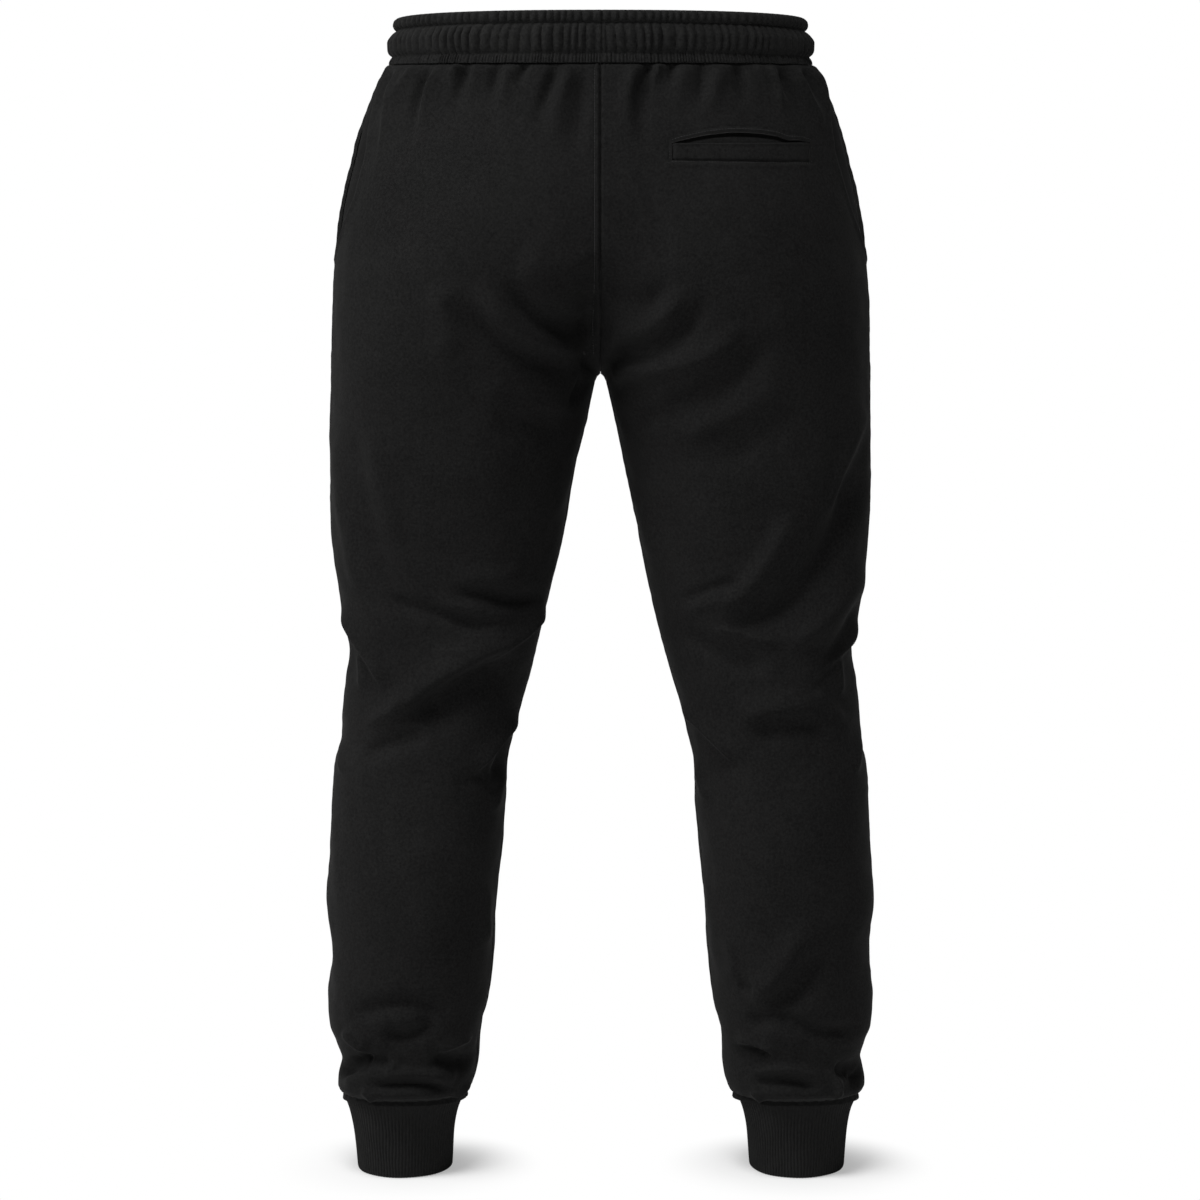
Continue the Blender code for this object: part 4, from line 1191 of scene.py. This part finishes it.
def make_patch(name, offsets, tops, bottoms, rows, lift_out, lift_in, materials, skip=2):
    """A piece on the right back panel between two edges."""
    heights = tops + (bottoms - tops) * np.linspace(0, 1, rows)[:, None]
    lengths = np.array([[section_at(float(h)).length_at_offset(o, BACK) for h, o in zip(row, offsets)]
                        for row in heights])
    points, normals, relief = patch_skin(heights, lengths)
    uv = np.stack((lengths, heights), axis=-1)
    return make_wall(name, R, points, normals, relief + lift_out, relief + lift_in, uv, skip, materials)


def cut_pocket(panel, materials):
    """Cut the back pocket's slot in the right back panel."""
    offsets = np.linspace(WELT_INNER - SEAM_GAP, WELT_OUTER + SEAM_GAP, 80)
    bottoms = np.full(len(offsets), WELT_BOTTOM - SEAM_GAP)
    cutter = make_patch("slot_cutter", offsets, pocket_top(offsets), bottoms, 6,
                        SLOT_REACH, -SLOT_REACH, materials, 1)
    cut = panel.modifiers.new("slot", "BOOLEAN")
    cut.operation = "DIFFERENCE"
    cut.solver = "EXACT"
    cut.object = cutter
    ready = bpy.context.evaluated_depsgraph_get()
    mesh = bpy.data.meshes.new_from_object(panel.evaluated_get(ready))
    mesh.set_sharp_from_angle(angle=np.radians(CUT_SHARP))
    panel.modifiers.clear()
    old = panel.data
    panel.data = mesh
    bpy.data.meshes.remove(old)
    bpy.data.objects.remove(cutter, do_unlink=True)


def make_welt(materials):
    offsets, rows = np.linspace(WELT_INNER, WELT_OUTER, 120), 18
    share = (offsets - WELT_INNER) / (WELT_OUTER - WELT_INNER)
    tops = WELT_TOP_INNER + (WELT_TOP_OUTER - WELT_TOP_INNER) * share
    down = np.linspace(0, 1, rows)[:, None]
    crown = 0.7 * np.sin(np.pi * down) ** 0.6 * np.minimum(1, 8 * np.minimum(share, 1 - share)) ** 0.5
    rolls = WELT_TOP_ROLL.over(down) + WELT_BOTTOM_ROLL.over(1 - down)
    ends = WELT_END_ROLL.over(share) + WELT_END_ROLL.over(1 - share)
    lift = WELT_RAISE - 0.6 + crown + WELT_FOLD.over(down) + rolls + ends
    return make_patch("back_pocket_welt_fleece", offsets, tops, np.full(len(offsets), WELT_BOTTOM),
                      rows, lift, WELT_RAISE - WELT_WALL, materials)


def make_pocket_facing(materials):
    offsets, rows = np.linspace(WELT_INNER - POCKET_MARGIN, WELT_OUTER + POCKET_MARGIN, 70), 26
    tops, bottoms = pocket_top(offsets), np.full(len(offsets), WELT_BOTTOM - POCKET_MARGIN)
    down = np.linspace(0, 1, rows)[:, None]
    heights = tops + POCKET_MARGIN + (bottoms - tops - POCKET_MARGIN) * down
    full = ease((tops - 0.8 - heights) / 3.2) * ease((heights - WELT_TOP_INNER + 2) / 2)
    lift = -POCKET_SINK - 0.2 + 2.6 * np.sin(np.pi * pocket_share(offsets)) ** 0.5 * full
    return make_patch("back_pocket_facing_cloth", offsets, tops + POCKET_MARGIN, bottoms, rows,
                      lift, -POCKET_SINK - FACING_WALL, materials)


# Seams and stitches

def tape_points(height, across, seam):
    """Points and normals across a seam: `seam` names the back or front middle, inseam or side."""
    section = section_at(height)
    if seam in MIDDLE_SEAMS and height > CROTCH:
        near = np.full(len(across), 0.0 if seam == "back" else section.total)
        points, normals = base_points(height, near), base_normals(height, near)
        points[:, 0] = across if seam == "back" else -across
        normals[:, 0] = 0
        return points, normals
    at = section.side_seam + across if seam == "side" else np.mod(across, section.total)
    return base_points(height, at), base_normals(height, at)


def make_tape(side, seam, heights, material):
    """The seam's turned-in cloth behind the gap between two panels."""
    across = np.array(TAPE_ACROSS)
    both = [tape_points(h, across, seam) for h in heights]
    points, normals = (np.array(part) for part in zip(*both))
    there = points.copy()
    there[..., 0] = np.abs(points[..., 0])
    relief = crease_relief(side, there, normals) - WALL - TAPE_SINK
    in_middle = seam in MIDDLE_SEAMS
    outer = move(side, points, normals, relief - (MIDDLE_TAPE_DIP if in_middle else TAPE_DIP))
    inner = move(side, points, normals, relief - TAPE_WALL)
    name = f"{seam}_seam_tape" + ("" if in_middle else f"_{WORDS[side]}")
    uv = on_cloth(across, heights)
    return make_shell(name, outer, inner, uv, uv, (material, material))


def make_waist_tape(side, material):
    """The seam's turned-in cloth behind the gap between the waistband and one side's panels."""
    heights = np.array(WAIST_TAPE)
    low = np.minimum(heights, BAND_BOTTOM)
    lengths = np.array([np.linspace(0, section_at(h).total, WAIST_POINTS) for h in heights])
    points, normals = base_grid(heights, lengths)
    folds = crease_relief(side, points, normals)
    folds += np.array([gather_relief(side, h, row) for h, row in zip(low, lengths)])
    mouth_from = np.array([section_at(h).side_seam for h in low])[:, None]
    mouth_to = np.array([mouth_edge(section_at(h), h) for h in low])[:, None]
    in_mouth = ease((lengths - mouth_from) / 4 + 1) * ease((mouth_to + MOUTH_TUCK - lengths) / 4 + 1)
    relief = held_in(heights) * folds - WALL - WAIST_SINK - MOUTH_SINK * in_mouth
    outer = move(side, points, normals, relief)
    inner = move(side, points, normals, relief - TAPE_WALL)
    uv = on_cloth(lengths, heights)
    return make_shell(f"waist_seam_tape_{WORDS[side]}", outer, inner, uv, uv, (material,))


def make_stitches(name, lines, material):
    """Rows of short threads along lines of (points, normals) on the cloth."""
    spokes = 2 * np.pi * np.arange(STITCH_SIDES) / STITCH_SIDES
    coords, faces, uv = [], [], []
    for points, normals in lines:
        marks = lengths_along(points)
        for at in np.arange(STITCH_PITCH, marks[-1] - STITCH_PITCH / 2, STITCH_PITCH):
            centre, ahead, behind = (follow(at + step, marks, points) for step in (0, 0.8, -0.8))
            out = follow(at, marks, normals)
            way = ahead - behind
            way /= np.linalg.norm(way)
            out = out - way * (out @ way)
            out /= np.linalg.norm(out)
            across = np.cross(way, out)
            start = len(coords)
            for shift, swell in STITCH_RINGS:
                middle = centre + way * shift * STITCH_LENGTH + out * (STITCH_DIP * (2 * abs(shift)) ** 2)
                for k, angle in enumerate(spokes):
                    spoke = np.cos(angle) * across + np.sin(angle) * out
                    coords.append(middle + spoke * STITCH_RADIUS * swell)
                    uv.append((at + shift * STITCH_LENGTH, k))
            faces += grid_faces(len(STITCH_RINGS), STITCH_SIDES, start, True, False)
            faces.append(tuple(range(start, start + STITCH_SIDES))[::-1])
            faces.append(tuple(range(len(coords) - STITCH_SIDES, len(coords))))
    mesh = bpy.data.meshes.new(name)
    mesh.from_pydata((np.array(coords) * MM).tolist(), [], faces)
    mesh.materials.append(material)
    add_uv(mesh, np.array(uv, float))
    mesh.shade_smooth()
    return add_thing(name, mesh)


def seam_line(side, face, heights, from_middle, lift):
    """A line down a panel at a distance from its middle seam, on the finished cloth."""
    lengths = []
    for height in heights:
        first, last = panel_range(section_at(height), height, face)
        lengths.append([first + from_middle if face == BACK else last - from_middle])
    lengths = np.array(lengths)
    near, far = np.full(lengths.shape, float(from_middle)), np.full(lengths.shape, 200.0)
    ins, outs = (near, far) if face == BACK else (far, near)
    edges = seam_edges(side, face, np.array(heights)[:, None], lengths, ins, outs)
    points, normals, relief = skin(side, heights, lengths, edges)
    return place(side, points, normals, relief + lift)[:, 0], normals[:, 0] * (side, 1, 1)


def pocket_line(offsets, heights, lift):
    """A sewn line on the right back panel beside the pocket."""
    spots = []
    for offset, height in np.broadcast(offsets, heights):
        length = float(section_at(height).length_at_offset(offset, BACK))
        spots.append([part[0, 0] for part in skin(R, [height], np.array([[length]]))])
    points, normals, relief = (np.array(part) for part in zip(*spots))
    return place(R, points, normals, relief + lift), normals * (R, 1, 1)


# Materials

def shader_nodes(name):
    material = bpy.data.materials.new(name)
    material.use_nodes = True
    tree = material.node_tree
    return material, tree, tree.nodes["Principled BSDF"]


def set_inputs(tree, node, **inputs):
    """Set or link a node's inputs: _0 stands for the first one, and Base_Color for a name."""
    for key, value in inputs.items():
        socket = node.inputs[int(key[1:]) if key[0] == "_" else key.replace("_", " ")]
        if hasattr(value, "is_output"):
            tree.links.new(value, socket)
        else:
            socket.default_value = value
    return node


def add_node(tree, kind, settings=None, **inputs):
    node = tree.nodes.new(kind)
    for key, value in (settings or {}).items():
        setattr(node, key, value)
    return set_inputs(tree, node, **inputs)


def maths(tree, operation, a, b=0.0):
    return add_node(tree, "ShaderNodeMath", {"operation": operation}, _0=a, _1=b).outputs[0]


def knit_height(tree, wale, course, depth):
    """Height of a knitted face: columns of V-shaped loops, from where a point lies on its cloth."""
    cloth = add_node(tree, "ShaderNodeUVMap", {"uv_map": "cloth"}).outputs[0]
    split = add_node(tree, "ShaderNodeSeparateXYZ", _0=cloth)
    across = maths(tree, "FRACT", maths(tree, "DIVIDE", split.outputs[0], wale))
    half = maths(tree, "ABSOLUTE", maths(tree, "SUBTRACT", across, 0.5))
    rise = maths(tree, "ADD", maths(tree, "DIVIDE", split.outputs[1], course),
                 maths(tree, "MULTIPLY", half, depth))
    loops = maths(tree, "SINE", maths(tree, "MULTIPLY", rise, 2 * np.pi))
    ridge = maths(tree, "SINE", maths(tree, "MULTIPLY", across, np.pi))
    return maths(tree, "ADD", maths(tree, "MULTIPLY", loops, 0.35), ridge)


def make_cloth(name, dark, light, roughness, sheen, knit, pile):
    """Black cloth: a knitted or brushed face with faint marl, and a soft sheen at grazing angles."""
    material, tree, shader = shader_nodes(name)
    at = add_node(tree, "ShaderNodeTexCoord").outputs["Object"]
    broad = add_node(tree, "ShaderNodeTexNoise", Vector=at, Scale=9.0, Detail=3.0, Roughness=0.6)
    marl = add_node(tree, "ShaderNodeTexNoise", Vector=at, Scale=430.0, Detail=3.0, Roughness=0.8)
    both = maths(tree, "ADD", maths(tree, "MULTIPLY", broad.outputs[0], 1 - SPECKLE),
                 maths(tree, "MULTIPLY", marl.outputs[0], SPECKLE))
    spread = add_node(tree, "ShaderNodeMapRange", _0=both, _1=0.36, _2=0.64)
    colour = add_node(tree, "ShaderNodeMix", {"data_type": "RGBA"}, _0=spread.outputs[0],
                      _6=(*dark, 1), _7=(*light, 1))
    fuzz = add_node(tree, "ShaderNodeTexNoise", Vector=at, Scale=pile, Detail=4.0, Roughness=0.75)
    height = maths(tree, "MULTIPLY", fuzz.outputs[0], 0.8)
    if knit:
        height = maths(tree, "ADD", height, maths(tree, "MULTIPLY", knit_height(tree, *knit), 0.5))
    bump = add_node(tree, "ShaderNodeBump", Height=height, Strength=0.55, Distance=0.00016)
    set_inputs(tree, shader, Base_Color=colour.outputs[2], Roughness=roughness,
               Specular_IOR_Level=0.10, Sheen_Weight=sheen, Sheen_Roughness=0.35,
               Sheen_Tint=(0.75, 0.74, 0.72, 1), Normal=bump.outputs[0])
    return material


def make_thread():
    material, tree, shader = shader_nodes("thread")
    at = add_node(tree, "ShaderNodeUVMap", {"uv_map": "cloth"}).outputs[0]
    twist = add_node(tree, "ShaderNodeTexWave", {"bands_direction": "DIAGONAL"}, Vector=at, Scale=700.0)
    bump = add_node(tree, "ShaderNodeBump", Height=twist.outputs[0], Strength=0.4, Distance=0.0001)
    set_inputs(tree, shader, Base_Color=(0.009, 0.009, 0.009, 1), Roughness=0.6,
               Normal=bump.outputs[0])
    return material


# Studio

LENS = 99.12
CAMERA_AT = (0.00045, 2.95, -0.249)
CAMERA_DOWN = 5.07           # degrees below the level


def make_camera():
    data = bpy.data.cameras.new("camera")
    data.sensor_width = 36
    data.lens = LENS
    data.clip_end = 100
    camera = add_thing("camera", data)
    camera.location = CAMERA_AT
    camera.rotation_euler = (np.radians(90 - CAMERA_DOWN), 0, np.pi)
    bpy.context.scene.camera = camera


class Lamp(NamedTuple):
    name: str
    place: tuple
    width: float
    power: float


LAMPS = table(
    Lamp,
    ("key", (3.3, 1.5, 2.1), 2.2, 141),
    ("top", (0.5, 1.8, 3.6), 1.2, 107),
    ("back_left", (1.6, -2.2, 0.8), 1.2, 2),
    ("back_right", (-1.6, -2.2, 0.8), 1.2, 1.7),
)
LAMPS_AIM = (0, 0, -0.5)
AMBIENT = 0.25
WHITE = (1, 1, 1, 1)


def make_studio():
    for lamp in LAMPS:
        data = bpy.data.lights.new(lamp.name, "AREA")
        data.energy = lamp.power
        data.size = lamp.width
        light = add_thing(lamp.name, data)
        light.location = lamp.place
        way = Vector(LAMPS_AIM) - light.location
        light.rotation_euler = way.to_track_quat("-Z", "Y").to_euler()
    world = bpy.data.worlds.new("studio")
    world.use_nodes = True
    tree = world.node_tree
    background = set_inputs(tree, tree.nodes["Background"], _0=WHITE, _1=AMBIENT)
    seen = add_node(tree, "ShaderNodeBackground", _0=WHITE, _1=1.0)
    rays = add_node(tree, "ShaderNodeLightPath")
    mix = add_node(tree, "ShaderNodeMixShader", _0=rays.outputs["Is Camera Ray"],
                   _1=background.outputs[0], _2=seen.outputs[0])
    set_inputs(tree, tree.nodes["World Output"], Surface=mix.outputs[0])
    bpy.context.scene.world = world
    bpy.context.scene.view_settings.view_transform = "Standard"
    bpy.context.scene.view_settings.look = "None"


def make_floor():
    """A pale floor that is plain white to the eye, but for the soft shadows beside the cuffs."""
    reach, low = 40, CUFF_BOTTOM * MM - 0.0004
    mesh = bpy.data.meshes.new("floor")
    corners = [(x * reach, y * reach, low) for x, y in ((-1, -1), (1, -1), (1, 1), (-1, 1))]
    mesh.from_pydata(corners, [], [(0, 1, 2, 3)])
    material, tree, shader = shader_nodes("floor")
    set_inputs(tree, shader, Base_Color=(0.9, 0.9, 0.9, 1), Roughness=0.9, Specular_IOR_Level=0.0)
    at = add_node(tree, "ShaderNodeTexCoord").outputs["Object"]
    feet = [add_node(tree, "ShaderNodeVectorMath", {"operation": "DISTANCE"}, _0=at,
                     _1=(side * CUFF_CENTRE * MM, 0, low)).outputs["Value"] for side in (L, R)]
    clear = add_node(tree, "ShaderNodeMapRange", {"interpolation_type": "SMOOTHSTEP"},
                     _0=maths(tree, "MINIMUM", *feet), _1=0.045, _2=0.13, _3=0.35, _4=1.0).outputs[0]
    white = add_node(tree, "ShaderNodeEmission", Color=WHITE, Strength=1.0)
    rays = add_node(tree, "ShaderNodeLightPath")
    plain = maths(tree, "MULTIPLY", clear, rays.outputs["Is Camera Ray"])
    mix = add_node(tree, "ShaderNodeMixShader", _0=plain, _1=shader.outputs[0], _2=white.outputs[0])
    set_inputs(tree, tree.nodes["Material Output"], Surface=mix.outputs[0])
    mesh.materials.append(material)
    add_thing("floor", mesh)


def dress(piece, slot, *nodes):
    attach(piece, "root")
    if nodes:
        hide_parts(*nodes)
    return piece


make_camera()
make_studio()
make_floor()

fleece_knit, rib_stitch = (0.0013, 0.0010, 0.9), (0.0010, 0.0012, 0.8)
fleece = make_cloth("fleece", (0.0036, 0.0036, 0.0036), (0.0112, 0.0112, 0.0110), 0.92, 0.015,
                    fleece_knit, 1500)
# Painted light: the waistband gets a lighter copy of the panels' fleece, standing in for the light from
# above that it catches more of; the cloth itself is the same fleece, drawn in
lit_band_fleece = make_cloth("fleece_painted_lighter", (0.0046, 0.0046, 0.0046), (0.0142, 0.0142, 0.0139),
                         0.92, 0.02, fleece_knit, 1500)
inside = make_cloth("fleece_inside", (0.011, 0.011, 0.011), (0.020, 0.020, 0.0195), 0.97, 0.3,
                    None, 700)
rib = make_cloth("rib_knit", (0.0076, 0.0076, 0.0076), (0.0136, 0.0136, 0.0133), 0.93, 0.03,
                 rib_stitch, 1500)
# Painted shade: the side pockets' facing is the same fleece made darker and without sheen, standing in for
# the shade it lies in behind the back panel's edge
facing = make_cloth("facing", (0.0028, 0.0028, 0.0028), (0.0064, 0.0064, 0.0062), 0.95, 0.0,
                    fleece_knit, 1500)
thread = make_thread()

cloth = (fleece, inside)
waistband = dress(make_waistband((lit_band_fleece, inside)), "fleece", "waistband")
for side, word in WORDS.items():
    back = make_panel(side, BACK, cloth)
    if side == R:
        cut_pocket(back, cloth)
    dress(back, "fleece", f"back_{word}_panel")
    dress(make_panel(side, FRONT, cloth), "fleece", f"front_{word}_panel")
    dress(make_side_facing(side, (facing, inside)), "facing",
                                   f"side_pocket_facing_{word}")
    dress(make_cuff(side, (rib, rib)), "rib_knit", f"cuff_{word}")
welt = dress(make_welt(cloth), "fleece", "back_pocket_welt")
pocket_back = dress(make_pocket_facing(cloth), "facing", "back_pocket_facing")

steps_down = [*np.arange(BAND_BOTTOM - 1, CROTCH + 1, -TAPE_STEP), CROTCH + 0.4]
legs_down = [*np.arange(CROTCH - 1, CUFF_TOP + 1, -TAPE_STEP)]
below_mouth = [height for height in steps_down + legs_down if height < MOUTH_BOTTOM + 2]
for seam in MIDDLE_SEAMS:
    dress(make_tape(L, seam, steps_down, inside), "fleece")
for side in (L, R):
    dress(make_tape(side, "side", below_mouth, inside), "fleece")
    dress(make_waist_tape(side, inside), "fleece")
    dress(make_tape(side, "inseam", legs_down, inside), "fleece")

seat_line = seam_line(L, BACK, list(np.arange(*SEAT_SEAM)), SEAT_SEWN.at, THREAD_LIFT)
seat_stitches = dress(make_stitches("seat_stitches", [seat_line], thread), "fleece")
frame_ends = (WELT_INNER - FRAME, WELT_OUTER + FRAME)
frame_offsets = np.linspace(*frame_ends, 60)
frame_tops = pocket_top(frame_offsets) + LIP_SEWN.at
frame_bottom = WELT_BOTTOM + UNDER_SEWN.at
pocket_lines = [pocket_line(frame_offsets, heights, THREAD_LIFT) for heights in (frame_tops, frame_bottom)]
pocket_lines += [pocket_line(end, np.linspace(top, frame_bottom, 12), THREAD_LIFT)
                 for end, top in zip(frame_ends, frame_tops[[0, -1]])]
pocket_stitches = dress(make_stitches("pocket_stitches", pocket_lines, thread), "fleece")
